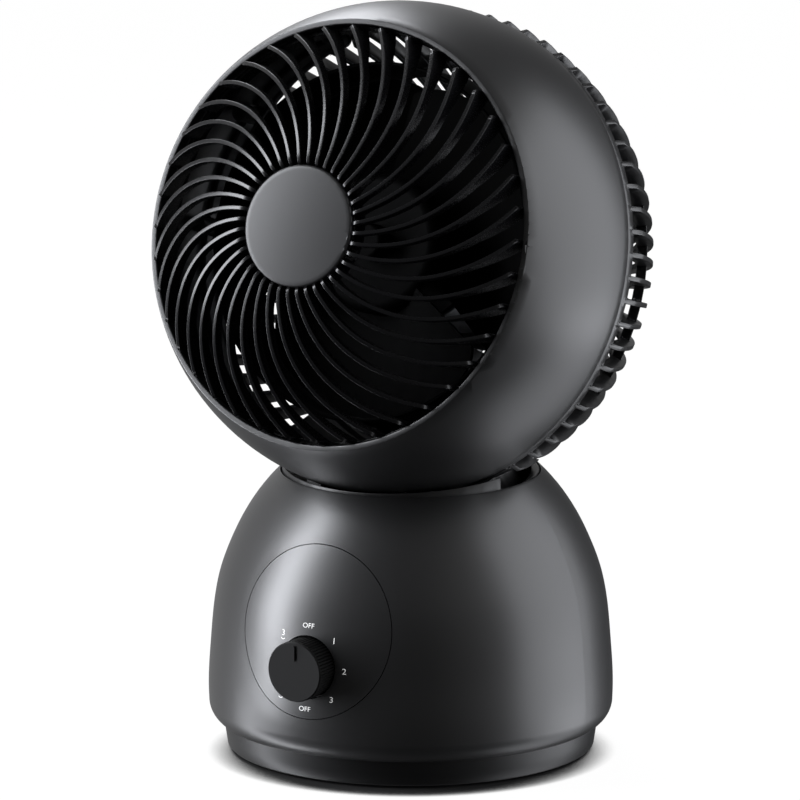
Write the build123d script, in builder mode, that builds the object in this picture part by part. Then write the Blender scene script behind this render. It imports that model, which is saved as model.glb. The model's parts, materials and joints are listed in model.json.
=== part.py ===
from build123d import *
from math import acos, cos, degrees, hypot, pi, radians, sin, sqrt, tan
import os

os.makedirs("parts", exist_ok=True)

# An air circulator fan: a ball-shaped head that tilts in a cradle, on a domed base.
# Millimetres.  +Z is up, the front faces -Y and the origin is on the floor,
# under the middle of the base.


def sphere_r(ball, z):
    # radius of the circle that a ball has at height z above its middle
    return sqrt(ball**2 - z**2)


def spun_about(points, plane, axis):
    # a solid of revolution from a closed outline of (radius, height) points
    with BuildPart() as solid:
        with BuildSketch(plane):
            with BuildLine():
                Polyline(*points, close=True)
            make_face()
        revolve(axis=axis)
    return solid.part


def drive_screw(length, shank_r, head_r, head_h):
    # a pan head screw: head below z = 0, shank above it, cross recess in the head
    with BuildPart() as screw:
        Cylinder(shank_r, length, align=(Align.CENTER, Align.CENTER, Align.MIN))
        Cone(0.7 * head_r, head_r, head_h, align=(Align.CENTER, Align.CENTER, Align.MAX))
        with Locations((0, 0, -head_h)):
            Box(1.2 * head_r, 0.25 * head_r, head_h, mode=Mode.SUBTRACT)
            Box(0.25 * head_r, 1.2 * head_r, head_h, mode=Mode.SUBTRACT)
    return screw.part


# ---- the head's own frame ----
head_r = 120.0  # the ball that the shell and the cover follow
head_z = 249.0  # height of the ball's middle
head_y = -10.5  # the ball's middle sits ahead of the base's axis
head_tilt = 16.3  # degrees the fan looks up at rest

head_middle = (0, head_y, head_z)
forward = (0, -cos(radians(head_tilt)), sin(radians(head_tilt)))
upward = (0, sin(radians(head_tilt)), cos(radians(head_tilt)))
# face plane: x to the right, y up the face, z out of the front
face_plane = Plane(origin=head_middle, x_dir=(1, 0, 0), z_dir=forward)
# section plane: x is the radius, y is the distance along the fan's axis
cut_plane = Plane(origin=head_middle, x_dir=(1, 0, 0), z_dir=(0, -upward[1], -upward[2]))
fan_axis = Axis(head_middle, forward)

# ---- front shell ----
opening_z = 59.4  # plane of the front opening
seam_z = -12.5  # seam with the rear cover
shell_wall = 2.6
lip_bore = 101.6  # inside of the opening's lip
lip_wall = 2.2
lip_end_z = 53.2
lip_round = 0.7
head_screw_count = 6
head_boss_ring = 114.0
head_boss_r = 3.8
head_boss_h = 15.0
head_screw_r = 1.25
pilot_gap = 0.03  # between a screw's shank and the plastic it bites
duct_screw_count = 3
duct_boss_ring = 112.5
duct_boss_r = 4.2
duct_boss_z = (-6.0, 6.0)
duct_start = 30.0

shell_inner = head_r - shell_wall
lip_outer = lip_bore + lip_wall
with BuildPart() as front_shell:
    with BuildSketch(cut_plane):
        with BuildLine():
            seam_out = (sphere_r(head_r, seam_z), seam_z)
            open_out = (sphere_r(head_r, opening_z), opening_z)
            seam_in = (sphere_r(shell_inner, seam_z), seam_z)
            lip_top = (lip_outer, sphere_r(shell_inner, lip_outer))
            mid_z = 0.5 * (seam_z + opening_z)
            ThreePointArc(seam_out, (sphere_r(head_r, mid_z), mid_z), open_out)
            Polyline(open_out, (lip_bore, opening_z), (lip_bore, lip_end_z), (lip_outer, lip_end_z), lip_top)
            ThreePointArc(lip_top, (sphere_r(shell_inner, mid_z), mid_z), seam_in)
            Line(seam_in, seam_out)
        shell_face = make_face()
        fillet(shell_face.vertices().group_by(Axis.Y)[-1], lip_round)
    revolve(axis=fan_axis)
    with Locations(face_plane.offset(seam_z)):
        with PolarLocations(head_boss_ring, head_screw_count):
            Cylinder(head_boss_r, head_boss_h, align=(Align.CENTER, Align.CENTER, Align.MIN))
            pilot_r = head_screw_r + pilot_gap
            pilot_h = head_boss_h - 2
            Cylinder(pilot_r, pilot_h, align=(Align.CENTER, Align.CENTER, Align.MIN), mode=Mode.SUBTRACT)
    with Locations(face_plane.offset(duct_boss_z[0])):
        boss_h = duct_boss_z[1] - duct_boss_z[0]
        with PolarLocations(duct_boss_ring, duct_screw_count, start_angle=duct_start):
            Cylinder(duct_boss_r, boss_h, align=(Align.CENTER, Align.CENTER, Align.MIN))
            Box(5.6, 3.0, boss_h, align=(Align.MIN, Align.CENTER, Align.MIN))
            pilot_r = head_screw_r + pilot_gap
            Cylinder(pilot_r, boss_h - 2, align=(Align.CENTER, Align.CENTER, Align.MIN), mode=Mode.SUBTRACT)
front_shell.part.label = "front_shell"
export_step(front_shell.part, "parts/front_shell.step")

# ---- front grille ----
dome_r = 125.0  # half width of the oval dome that the rib edges follow
dome_h = 93.5  # its half height along the axis
dome_z = 7.52
rib_count = 40
rib_thick = 1.9
rib_r = (27.0, 100.3)
# how far round the ribs have swept, in degrees, at each radius
swirl = [(22, -2.0), (38, 1.2), (52, 5.9), (78, 17.8), (106, 35.4)]
rib_depth = (10.5, 5.4, 5.0, 6.8, 15.5)  # depth behind the dome at the radii below
rib_depth_r = (27.0, 38.0, 60.0, 84.0, 100.3)
ring_in = 99.2
ring_out = 101.3
ring_z = (44.0, 52.9)
catch_r = 103.6
catch_h = 3.2
barrel_r = 29.0
barrel_wall = 2.4
barrel_z = (84.0, 94.6)
cap_r = 29.4
cap_gap = 0.3  # between the cap's edge and the ribs round it


def dome_height(r):
    return dome_z + dome_h * sqrt(1 - (r / dome_r) ** 2)


with BuildPart() as ribs:
    with BuildSketch() as rib_plan:
        with BuildLine() as rib_path:
            turns = [(r * cos(radians(a)), r * sin(radians(a))) for r, a in swirl]
            root_arc = ThreePointArc(turns[0], turns[1], turns[2])
            mid_arc = TangentArc(turns[2], turns[3], tangent=root_arc % 1)
            TangentArc(turns[3], turns[4], tangent=mid_arc % 1)
        trace(rib_path.line, rib_thick)
    extrude(amount=dome_z + dome_h + 5)
    with BuildSketch(Plane.XZ):
        with BuildLine():
            front = [(r, dome_height(r)) for r in (rib_r[0], 68.0, rib_r[1])]
            rear = [(r, dome_height(r) - d) for r, d in zip(rib_depth_r, rib_depth)]
            ThreePointArc(*front)
            Line(front[2], rear[4])
            Line(rear[4], rear[3])
            ThreePointArc(rear[3], rear[2], rear[1])
            Line(rear[1], rear[0])
            Line(rear[0], front[0])
        make_face()
    revolve(axis=Axis.Z, mode=Mode.INTERSECT)

with BuildPart(face_plane) as front_grille:
    with Locations((0, 0, ring_z[0])):
        ring_h = ring_z[1] - ring_z[0]
        Cylinder(ring_out, ring_h, align=(Align.CENTER, Align.CENTER, Align.MIN))
        Cylinder(catch_r, catch_h, align=(Align.CENTER, Align.CENTER, Align.MIN))
        Cylinder(ring_in, ring_h, align=(Align.CENTER, Align.CENTER, Align.MIN), mode=Mode.SUBTRACT)
    with Locations((0, 0, barrel_z[0])):
        barrel_h = barrel_z[1] - barrel_z[0]
        Cylinder(barrel_r, barrel_h, align=(Align.CENTER, Align.CENTER, Align.MIN))
        Cylinder(
            barrel_r - barrel_wall, barrel_h - barrel_wall,
            align=(Align.CENTER, Align.CENTER, Align.MIN), mode=Mode.SUBTRACT,
        )
    with PolarLocations(0, rib_count):
        add(ribs.part)
    with Locations((0, 0, barrel_z[1])):
        Cylinder(cap_r + cap_gap, 10, align=(Align.CENTER, Align.CENTER, Align.MIN), mode=Mode.SUBTRACT)
front_grille.part.label = "front_grille"
export_step(front_grille.part, "parts/front_grille.step")

# ---- hub cap ----
cap_face_z = 98.9
cap_crown = 1.3  # how far the face falls away towards its edge
cap_bevel = 0.7
cap_plug_r = 24.0
cap_plug_h = 0.3

with BuildPart() as hub_cap:
    with BuildSketch(cut_plane):
        with BuildLine():
            crown_r = cap_r - cap_bevel
            edge_z = cap_face_z - cap_crown
            cap_back = barrel_z[1] + cap_plug_h
            ThreePointArc((0, cap_face_z), (crown_r / 2, cap_face_z - cap_crown / 4), (crown_r, edge_z))
            Polyline(
                (crown_r, edge_z), (cap_r, edge_z - cap_bevel), (cap_r, cap_back), (cap_plug_r, cap_back),
                (cap_plug_r, barrel_z[1]), (0, barrel_z[1]), (0, cap_face_z),
            )
        make_face()
    revolve(axis=fan_axis)
hub_cap.part.label = "hub_cap"
export_step(hub_cap.part, "parts/hub_cap.step")

# ---- duct ring ----
duct_r = (85.4, 87.4)
duct_z = (-15.0, 30.0)
arm_end_r = 109.4
arm_wide = 3.0
ear_r = 4.2
ear_thick = 3.0
screw_hole_r = 1.6

with BuildPart(face_plane) as duct_ring:
    with Locations((0, 0, duct_z[0])):
        duct_h = duct_z[1] - duct_z[0]
        Cylinder(duct_r[1], duct_h, align=(Align.CENTER, Align.CENTER, Align.MIN))
        Cylinder(duct_r[0], duct_h, align=(Align.CENTER, Align.CENTER, Align.MIN), mode=Mode.SUBTRACT)
    chamfer(duct_ring.faces().sort_by(fan_axis)[-1].edges(), 0.6)
    with PolarLocations(0, duct_screw_count, start_angle=duct_start):
        with Locations((duct_r[0] + 1, 0, duct_z[0])):
            arm_h = duct_boss_z[0] - duct_z[0]
            Box(arm_end_r - duct_r[0] - 1, arm_wide, arm_h, align=(Align.MIN, Align.CENTER, Align.MIN))
        with Locations((duct_boss_ring, 0, duct_boss_z[0])):
            Cylinder(ear_r, ear_thick, align=(Align.CENTER, Align.CENTER, Align.MAX))
            Cylinder(screw_hole_r, ear_thick, align=(Align.CENTER, Align.CENTER, Align.MAX), mode=Mode.SUBTRACT)
duct_ring.part.label = "duct_ring"
export_step(duct_ring.part, "parts/duct_ring.step")

duct_screw = drive_screw(12.0, head_screw_r, 2.5, 2.0)
with BuildPart(face_plane) as duct_screws:
    with Locations((0, 0, duct_boss_z[0] - ear_thick)):
        with PolarLocations(duct_boss_ring, duct_screw_count, start_angle=duct_start):
            add(duct_screw)
duct_screws.part.label = "duct_screws"
export_step(duct_screws.part, "parts/duct_screws.step")

# ---- rear cover ----
cover_r = 119.7
cover_inner = 117.2
band_z = -20.0
tongue_r = (114.4, 116.3)
tongue_top_z = -8.5
tongue_root_z = -16.0
head_ear_r = 4.0
screw_pocket_r = 3.4
screw_pocket_h = 9.0
duct_pocket_r = 5.2
fin_count = 66
fin_thick = 2.4
fin_r = 122.8
fin_inner = 114.5
fin_start_z = -18.0
fin_crest_z = -24.0
hoop_r = 119.8
hoop_inner = 115.0
hoops = [(-62.3, -57.9), (-94.2, -90.4)]
sleeve_r = (37.2, 40.0)
sleeve_z = (-116.0, -69.0)
mount_thick = 3.0
mount_bore = 12.0
motor_screw_ring = 27.0
keel_r = (117.0, 120.0)
keel_wide = 66.0
keel_narrow = 44.0
keel_z = (-109.5, -80.0, -60.0, -18.0)
tilt_stem_angle = 111.5  # from the fan's axis, round to the underside
stem_boss = (16.0, 18.0)
stem_boss_h = 10.0
stem_screw_gap = 5.0
stem_screw_r = 1.5


def fin_side(end_r):
    # one rear fin seen from the side, from the band back to end_r
    outer_end = (end_r, -sqrt(fin_r**2 - end_r**2))
    inner_end = (end_r, -sqrt(fin_inner**2 - end_r**2))
    crest = (sphere_r(fin_r, fin_crest_z), fin_crest_z)
    tip = (sphere_r(cover_r, fin_start_z), fin_start_z)
    heel = (sphere_r(fin_inner, fin_start_z), fin_start_z)
    outer_mid_z = 0.5 * (fin_crest_z + outer_end[1])
    inner_mid_z = 0.5 * (fin_start_z + inner_end[1])
    with BuildPart() as fin:
        with BuildSketch(Plane.XZ):
            with BuildLine():
                Line(heel, tip)
                Line(tip, crest)
                ThreePointArc(crest, (sphere_r(fin_r, outer_mid_z), outer_mid_z), outer_end)
                Line(outer_end, inner_end)
                ThreePointArc(inner_end, (sphere_r(fin_inner, inner_mid_z), inner_mid_z), heel)
            make_face()
        extrude(amount=fin_thick / 2, both=True)
    return fin.part


def ball_band(outer, inner, low_z, high_z, plane, axis):
    # a band between two concentric balls, from low_z to high_z
    mid = 0.5 * (low_z + high_z)
    with BuildPart() as band:
        with BuildSketch(plane):
            with BuildLine():
                turns = ((outer, low_z), (outer, high_z), (inner, high_z), (inner, low_z))
                corners = [(sphere_r(ball, z), z) for ball, z in turns]
                ThreePointArc(corners[0], (sphere_r(outer, mid), mid), corners[1])
                Line(corners[1], corners[2])
                ThreePointArc(corners[2], (sphere_r(inner, mid), mid), corners[3])
                Line(corners[3], corners[0])
            make_face()
        revolve(axis=axis)
    return band.part


long_fin = fin_side(sleeve_r[0] + 1.4)
short_fin = fin_side(sphere_r(hoop_inner, hoops[1][0]) + 1.0)
keel_plan = [
    (-keel_narrow, keel_z[0]), (keel_narrow, keel_z[0]), (keel_narrow, keel_z[1]), (keel_wide, keel_z[2]),
    (keel_wide, keel_z[3]), (-keel_wide, keel_z[3]), (-keel_wide, keel_z[2]), (-keel_narrow, keel_z[1]),
]
with BuildPart() as keel_zone:
    with BuildSketch(Plane.XZ):
        with BuildLine():
            Polyline(*keel_plan, close=True)
        make_face()
    extrude(amount=head_r + 5)
with BuildPart() as keel_skin:
    add(ball_band(keel_r[1], keel_r[0], keel_z[0], keel_z[3], Plane.XZ, Axis.Z))
    add(keel_zone.part, mode=Mode.INTERSECT)

# the boss inside the keel that takes the tilt stem's screws, in the head's frame
stem_turn = radians(tilt_stem_angle)
boss_plane = Plane(origin=(0, 0, 0), x_dir=(1, 0, 0), z_dir=(0, -sin(stem_turn), cos(stem_turn)))
with BuildPart(boss_plane) as stem_block:
    with Locations((0, 0, keel_r[0] - stem_boss_h)):
        Box(*stem_boss, stem_boss_h + 1.5, align=(Align.CENTER, Align.CENTER, Align.MIN))
with BuildPart(boss_plane) as stem_pilots:
    pilot_start = keel_r[0] - stem_boss_h + 2
    with Locations((0, -stem_screw_gap, pilot_start), (0, stem_screw_gap, pilot_start)):
        Cylinder(stem_screw_r + pilot_gap, 14, align=(Align.CENTER, Align.CENTER, Align.MIN))

with BuildPart(face_plane) as rear_cover:
    with PolarLocations(0, fin_count // 2):
        add(long_fin)
    with PolarLocations(0, fin_count // 2, start_angle=360 / fin_count):
        add(short_fin)
    add(keel_zone.part, mode=Mode.SUBTRACT)
    add(keel_skin.part)
    for low_z, high_z in hoops:
        add(ball_band(hoop_r, hoop_inner, low_z, high_z, Plane.XZ, Axis.Z))
    add(ball_band(cover_r, cover_inner, band_z, seam_z, Plane.XZ, Axis.Z))
    with Locations((0, 0, band_z)):
        band_h = tongue_root_z - band_z
        Cylinder(sphere_r(cover_inner, band_z) + 1, band_h, align=(Align.CENTER, Align.CENTER, Align.MIN))
        Cylinder(tongue_r[0] - 1.5, band_h, align=(Align.CENTER, Align.CENTER, Align.MIN), mode=Mode.SUBTRACT)
    with Locations((0, 0, tongue_root_z)):
        root_h = seam_z - tongue_root_z
        Cylinder(sphere_r(cover_inner, seam_z) + 1, root_h, align=(Align.CENTER, Align.CENTER, Align.MIN))
        Cylinder(tongue_r[1], tongue_top_z - tongue_root_z, align=(Align.CENTER, Align.CENTER, Align.MIN))
        Cylinder(
            tongue_r[0], tongue_top_z - tongue_root_z,
            align=(Align.CENTER, Align.CENTER, Align.MIN), mode=Mode.SUBTRACT,
        )
    with Locations((0, 0, seam_z)):
        gap_h = tongue_top_z - seam_z
        with PolarLocations(head_boss_ring, head_screw_count):
            Cylinder(head_boss_r + 0.6, gap_h, align=(Align.CENTER, Align.CENTER, Align.MIN), mode=Mode.SUBTRACT)
            Cylinder(head_ear_r, ear_thick, align=(Align.CENTER, Align.CENTER, Align.MAX))
            Cylinder(
                screw_hole_r, ear_thick + screw_pocket_h,
                align=(Align.CENTER, Align.CENTER, Align.MAX), mode=Mode.SUBTRACT,
            )
        with Locations((0, 0, -ear_thick)):
            with PolarLocations(head_boss_ring, head_screw_count):
                Cylinder(
                    screw_pocket_r, screw_pocket_h,
                    align=(Align.CENTER, Align.CENTER, Align.MAX), mode=Mode.SUBTRACT,
                )
    with Locations((0, 0, tongue_root_z)):
        with PolarLocations(duct_boss_ring, duct_screw_count, start_angle=duct_start):
            Cylinder(
                duct_pocket_r, screw_pocket_h,
                align=(Align.CENTER, Align.CENTER, Align.MIN), mode=Mode.SUBTRACT,
            )
    with Locations((0, 0, sleeve_z[0])):
        sleeve_h = sleeve_z[1] - sleeve_z[0]
        Cylinder(sleeve_r[1], sleeve_h, align=(Align.CENTER, Align.CENTER, Align.MIN))
        Cylinder(
            sleeve_r[0], sleeve_h - mount_thick,
            align=(Align.CENTER, Align.CENTER, Align.MIN), mode=Mode.SUBTRACT,
        )
    with Locations((0, 0, sleeve_z[1])):
        Cylinder(mount_bore, mount_thick, align=(Align.CENTER, Align.CENTER, Align.MAX), mode=Mode.SUBTRACT)
        with PolarLocations(motor_screw_ring, 4, start_angle=45):
            Cylinder(screw_hole_r, mount_thick, align=(Align.CENTER, Align.CENTER, Align.MAX), mode=Mode.SUBTRACT)
    add(stem_block.part)
    add(stem_pilots.part, mode=Mode.SUBTRACT)
rear_cover.part.label = "rear_cover"
export_step(rear_cover.part, "parts/rear_cover.step")

head_screw = drive_screw(ear_thick + head_boss_h - 4, head_screw_r, 2.8, 2.0)
with BuildPart(face_plane) as head_screws:
    with Locations((0, 0, seam_z - ear_thick)):
        with PolarLocations(head_boss_ring, head_screw_count):
            add(head_screw)
head_screws.part.label = "head_screws"
export_step(head_screws.part, "parts/head_screws.step")

# ---- rear cap ----
rear_cap_r = 36.9
rear_cap_ball = 121.2
rear_cap_thick = 2.4
rear_cap_wall = 2.0
rear_cap_skirt_z = -106.0

with BuildPart() as rear_cap:
    with BuildSketch(cut_plane):
        with BuildLine():
            rim = (rear_cap_r, -sphere_r(rear_cap_ball, rear_cap_r))
            skirt_in = rear_cap_r - rear_cap_wall
            Polyline(
                (0, -rear_cap_ball), (0, -rear_cap_ball + rear_cap_thick), (skirt_in, rim[1] + rear_cap_thick),
                (skirt_in, rear_cap_skirt_z), (rear_cap_r, rear_cap_skirt_z), rim,
            )
            ThreePointArc(rim, (18.0, -sphere_r(rear_cap_ball, 18.0)), (0, -rear_cap_ball))
        make_face()
    revolve(axis=fan_axis)
rear_cap.part.label = "rear_cap"
export_step(rear_cap.part, "parts/rear_cap.step")

# ---- fan motor ----
can_r = 34.0
can_wall = 1.6
can_face = 2.0
front_can_z = (-45.0, -20.0)
rear_can_z = (-69.0, -45.2)
can_boss_r = 9.5
bush_seat_r = 7.5
front_boss_z = (-27.0, -16.5)
rear_boss_z = (-73.5, -62.0)
vent_r = 3.2
vent_ring = 17.5
vent_count = 6
motor_pad_r = 3.6
motor_pad_h = 5.5
core_z = (-54.0, -36.0)
core_r = 32.35
core_bore = 18.0
slot_count = 12
slot_r = 2.6
slot_ring = 22.6
coil_r = (19.6, 29.8)
coil_h = 7.0
coil_round = 2.6
shaft_r = 4.0
shaft_z = (-76.0, 31.0)
running_gap = 0.04
rotor_r = 17.4


def hollow_can(low_z, high_z, face_high):
    # a motor bracket: a cup whose face is at high_z or at low_z
    with BuildPart() as can:
        with Locations((0, 0, low_z)):
            Cylinder(can_r, high_z - low_z, align=(Align.CENTER, Align.CENTER, Align.MIN))
        with Locations((0, 0, low_z if face_high else low_z + can_face)):
            Cylinder(
                can_r - can_wall, high_z - low_z - can_face,
                align=(Align.CENTER, Align.CENTER, Align.MIN), mode=Mode.SUBTRACT,
            )
        fillet(can.faces().sort_by(Axis.Z)[-1 if face_high else 0].edges(), 1.2)
    return can.part


with BuildPart(face_plane) as motor_front_bracket:
    add(hollow_can(*front_can_z, True))
    with Locations((0, 0, front_boss_z[0])):
        boss_h = front_boss_z[1] - front_boss_z[0]
        Cylinder(can_boss_r, boss_h, align=(Align.CENTER, Align.CENTER, Align.MIN))
        Cylinder(bush_seat_r, boss_h, align=(Align.CENTER, Align.CENTER, Align.MIN), mode=Mode.SUBTRACT)
    with Locations((0, 0, front_can_z[1])):
        with PolarLocations(vent_ring, vent_count):
            Cylinder(vent_r, can_face, align=(Align.CENTER, Align.CENTER, Align.MAX), mode=Mode.SUBTRACT)
motor_front_bracket.part.label = "motor_front_bracket"
export_step(motor_front_bracket.part, "parts/motor_front_bracket.step")

with BuildPart(face_plane) as motor_rear_bracket:
    add(hollow_can(*rear_can_z, False))
    with Locations((0, 0, rear_boss_z[0])):
        boss_h = rear_boss_z[1] - rear_boss_z[0]
        Cylinder(can_boss_r, boss_h, align=(Align.CENTER, Align.CENTER, Align.MIN))
        Cylinder(bush_seat_r, boss_h, align=(Align.CENTER, Align.CENTER, Align.MIN), mode=Mode.SUBTRACT)
    with Locations((0, 0, rear_can_z[0])):
        with PolarLocations(motor_screw_ring, 4, start_angle=45):
            Cylinder(motor_pad_r, motor_pad_h, align=(Align.CENTER, Align.CENTER, Align.MIN))
            Cylinder(
                stem_screw_r + pilot_gap, motor_pad_h,
                align=(Align.CENTER, Align.CENTER, Align.MIN), mode=Mode.SUBTRACT,
            )
motor_rear_bracket.part.label = "motor_rear_bracket"
export_step(motor_rear_bracket.part, "parts/motor_rear_bracket.step")

motor_screw = drive_screw(mount_thick + 5.0, stem_screw_r, 2.8, 2.0)
with BuildPart(face_plane) as motor_screws:
    with Locations((0, 0, sleeve_z[1] - mount_thick)):
        with PolarLocations(motor_screw_ring, 4, start_angle=45):
            add(motor_screw)
motor_screws.part.label = "motor_screws"
export_step(motor_screws.part, "parts/motor_screws.step")

with BuildPart(face_plane) as motor_bushes:
    bush_h = 8.0
    with Locations((0, 0, front_boss_z[0] + 1), (0, 0, rear_boss_z[0] + 2)):
        Cylinder(bush_seat_r - 0.02, bush_h, align=(Align.CENTER, Align.CENTER, Align.MIN))
        Cylinder(shaft_r + running_gap, bush_h, align=(Align.CENTER, Align.CENTER, Align.MIN), mode=Mode.SUBTRACT)
motor_bushes.part.label = "motor_bushes"
export_step(motor_bushes.part, "parts/motor_bushes.step")

core_h = core_z[1] - core_z[0]
with BuildPart(face_plane) as motor_stator:
    with Locations((0, 0, core_z[0])):
        Cylinder(core_r, core_h, align=(Align.CENTER, Align.CENTER, Align.MIN))
        Cylinder(core_bore, core_h, align=(Align.CENTER, Align.CENTER, Align.MIN), mode=Mode.SUBTRACT)
        with PolarLocations(slot_ring, slot_count):
            Cylinder(slot_r, core_h, align=(Align.CENTER, Align.CENTER, Align.MIN), mode=Mode.SUBTRACT)
motor_stator.part.label = "motor_stator"
export_step(motor_stator.part, "parts/motor_stator.step")

with BuildPart(face_plane) as motor_windings:
    with Locations((0, 0, core_z[1]), (0, 0, core_z[0] - coil_h)):
        Cylinder(coil_r[1], coil_h, align=(Align.CENTER, Align.CENTER, Align.MIN))
        Cylinder(coil_r[0], coil_h, align=(Align.CENTER, Align.CENTER, Align.MIN), mode=Mode.SUBTRACT)
    coil_faces = motor_windings.faces().filter_by(GeomType.PLANE).sort_by(fan_axis)
    fillet((coil_faces[0] + coil_faces[-1]).edges(), coil_round)
motor_windings.part.label = "motor_windings"
export_step(motor_windings.part, "parts/motor_windings.step")

with BuildPart(face_plane) as motor_shaft:
    with Locations((0, 0, shaft_z[0])):
        Cylinder(shaft_r, shaft_z[1] - shaft_z[0], align=(Align.CENTER, Align.CENTER, Align.MIN))
    chamfer(motor_shaft.faces().filter_by(GeomType.PLANE).edges(), 0.5)
motor_shaft.part.label = "motor_shaft"
export_step(motor_shaft.part, "parts/motor_shaft.step")

with BuildPart(face_plane) as motor_rotor:
    with Locations((0, 0, core_z[0])):
        Cylinder(rotor_r, core_h, align=(Align.CENTER, Align.CENTER, Align.MIN))
        Cylinder(shaft_r, core_h, align=(Align.CENTER, Align.CENTER, Align.MIN), mode=Mode.SUBTRACT)
    with Locations((0, 0, core_z[0] - 2.0), (0, 0, core_z[1])):
        Cylinder(rotor_r - 1.2, 2.0, align=(Align.CENTER, Align.CENTER, Align.MIN))
        Cylinder(rotor_r - 6.0, 2.0, align=(Align.CENTER, Align.CENTER, Align.MIN), mode=Mode.SUBTRACT)
motor_rotor.part.label = "motor_rotor"
export_step(motor_rotor.part, "parts/motor_rotor.step")

# ---- impeller ----
blade_count = 3
blade_sweep = 124.0  # degrees each blade covers
blade_start = 80.0
blade_thick = 2.2
blade_root_r = 32.5
blade_tip_r = 84.0
# fraction of the sweep, tip radius, root height, tip height
blade_cuts = [
    (0.0, 66.0, -12.0, -9.0), (0.08, 77.0, -9.2, -6.9), (0.2, 83.6, -5.0, -3.4), (0.35, 84.0, 0.2, 0.8),
    (0.5, 84.0, 5.4, 5.4), (0.65, 84.0, 10.7, 9.7), (0.8, 83.2, 16.0, 14.2), (0.93, 80.0, 20.3, 17.9),
    (1.0, 74.0, 22.4, 20.0),
]
hub_r = 34.0
hub_wall = 2.4
hub_z = (-14.0, 24.0)
hub_round = 5.0
hub_boss_r = 8.0
hub_boss_z = -11.0

with BuildPart() as blade:
    for part_way, tip_r, root_h, tip_h in blade_cuts:
        turn = radians(blade_sweep * part_way)
        chord_plane = Plane(origin=(0, 0, 0), x_dir=(cos(turn), sin(turn), 0), z_dir=(sin(turn), -cos(turn), 0))
        with BuildSketch(chord_plane):
            with BuildLine():
                half = blade_thick / 2
                Polyline(
                    (blade_root_r, root_h - half), (tip_r, tip_h - half), (tip_r, tip_h + half),
                    (blade_root_r, root_h + half), close=True,
                )
            make_face()
    loft()
    Cylinder(blade_tip_r, 120, mode=Mode.INTERSECT)

with BuildPart(face_plane) as impeller:
    with Locations((0, 0, hub_z[0])):
        Cylinder(hub_r, hub_z[1] - hub_z[0], align=(Align.CENTER, Align.CENTER, Align.MIN))
    fillet(impeller.faces().sort_by(fan_axis)[-1].edges(), hub_round)
    with Locations((0, 0, hub_z[0])):
        Cylinder(
            hub_r - hub_wall, hub_z[1] - hub_z[0] - 2 * hub_wall,
            align=(Align.CENTER, Align.CENTER, Align.MIN), mode=Mode.SUBTRACT,
        )
    with PolarLocations(0, blade_count, start_angle=blade_start):
        add(blade.part)
    with Locations((0, 0, hub_boss_z)):
        boss_h = hub_z[1] - hub_boss_z
        Cylinder(hub_boss_r, boss_h, align=(Align.CENTER, Align.CENTER, Align.MIN))
        Cylinder(shaft_r, boss_h, align=(Align.CENTER, Align.CENTER, Align.MIN), mode=Mode.SUBTRACT)
impeller.part.label = "impeller"
export_step(impeller.part, "parts/impeller.step")

nut_r = 9.0
nut_h = 10.0
nut_wall = 2.5
nut_grips = 10
with BuildPart(face_plane) as impeller_nut:
    with Locations((0, 0, hub_z[1])):
        Cylinder(nut_r, nut_h, align=(Align.CENTER, Align.CENTER, Align.MIN))
        Cylinder(shaft_r, nut_h - nut_wall, align=(Align.CENTER, Align.CENTER, Align.MIN), mode=Mode.SUBTRACT)
    fillet(impeller_nut.faces().sort_by(fan_axis)[-1].edges(), 2.0)
    with Locations((0, 0, hub_z[1])):
        with PolarLocations(nut_r + 0.6, nut_grips):
            Cylinder(1.4, nut_h, align=(Align.CENTER, Align.CENTER, Align.MIN), mode=Mode.SUBTRACT)
impeller_nut.part.label = "impeller_nut"
export_step(impeller_nut.part, "parts/impeller_nut.step")

# ---- tilt stem and shoe ----
stem_look = radians(head_tilt - tilt_stem_angle)
stem_plane = Plane(origin=head_middle, x_dir=(1, 0, 0), z_dir=(0, -cos(stem_look), sin(stem_look)))
keel_top_r = keel_r[1]
stem_size = (14.0, 16.0)
shoe_size = (26.0, 22.0)
floor_r = (121.6, 125.6)  # the cradle's floor, between two balls
shoe_gap = 0.5
shoe_r = (floor_r[1] + shoe_gap, 130.4)


def ball_cut(size, inner, outer):
    # a block that points away from the head's middle, between two concentric balls
    with BuildPart(stem_plane) as block:
        with Locations((0, 0, inner - 4)):
            Box(*size, outer - inner + 6, align=(Align.CENTER, Align.CENTER, Align.MIN))
        with Locations((0, 0, 0)):
            Sphere(outer, mode=Mode.INTERSECT)
            Sphere(inner, mode=Mode.SUBTRACT)
    return block.part


def stem_holes(radius):
    # the two screw holes along the stem
    with BuildPart() as holes:
        with BuildSketch(stem_plane.offset(keel_top_r - 2)):
            with Locations((0, -stem_screw_gap), (0, stem_screw_gap)):
                Circle(radius)
        extrude(amount=16)
    return holes.part


with BuildPart() as tilt_stem:
    add(ball_cut(stem_size, keel_top_r, shoe_r[0]))
    add(stem_holes(stem_screw_r + 0.15), mode=Mode.SUBTRACT)
tilt_stem.part.label = "tilt_stem"
export_step(tilt_stem.part, "parts/tilt_stem.step")

with BuildPart() as tilt_shoe:
    add(ball_cut(shoe_size, shoe_r[0], shoe_r[1]))
    add(stem_holes(stem_screw_r + 0.15), mode=Mode.SUBTRACT)
tilt_shoe.part.label = "tilt_shoe"
export_step(tilt_shoe.part, "parts/tilt_shoe.step")

shoe_screw = drive_screw(19.0, stem_screw_r, 2.8, 2.0)
inward = Plane(origin=stem_plane.offset(shoe_r[1]).origin, x_dir=(1, 0, 0), z_dir=-stem_plane.z_dir)
with BuildPart(inward) as shoe_screws:
    with Locations((0, -stem_screw_gap, 0), (0, stem_screw_gap, 0)):
        add(shoe_screw)
shoe_screws.part.label = "shoe_screws"
export_step(shoe_screws.part, "parts/shoe_screws.step")

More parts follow.
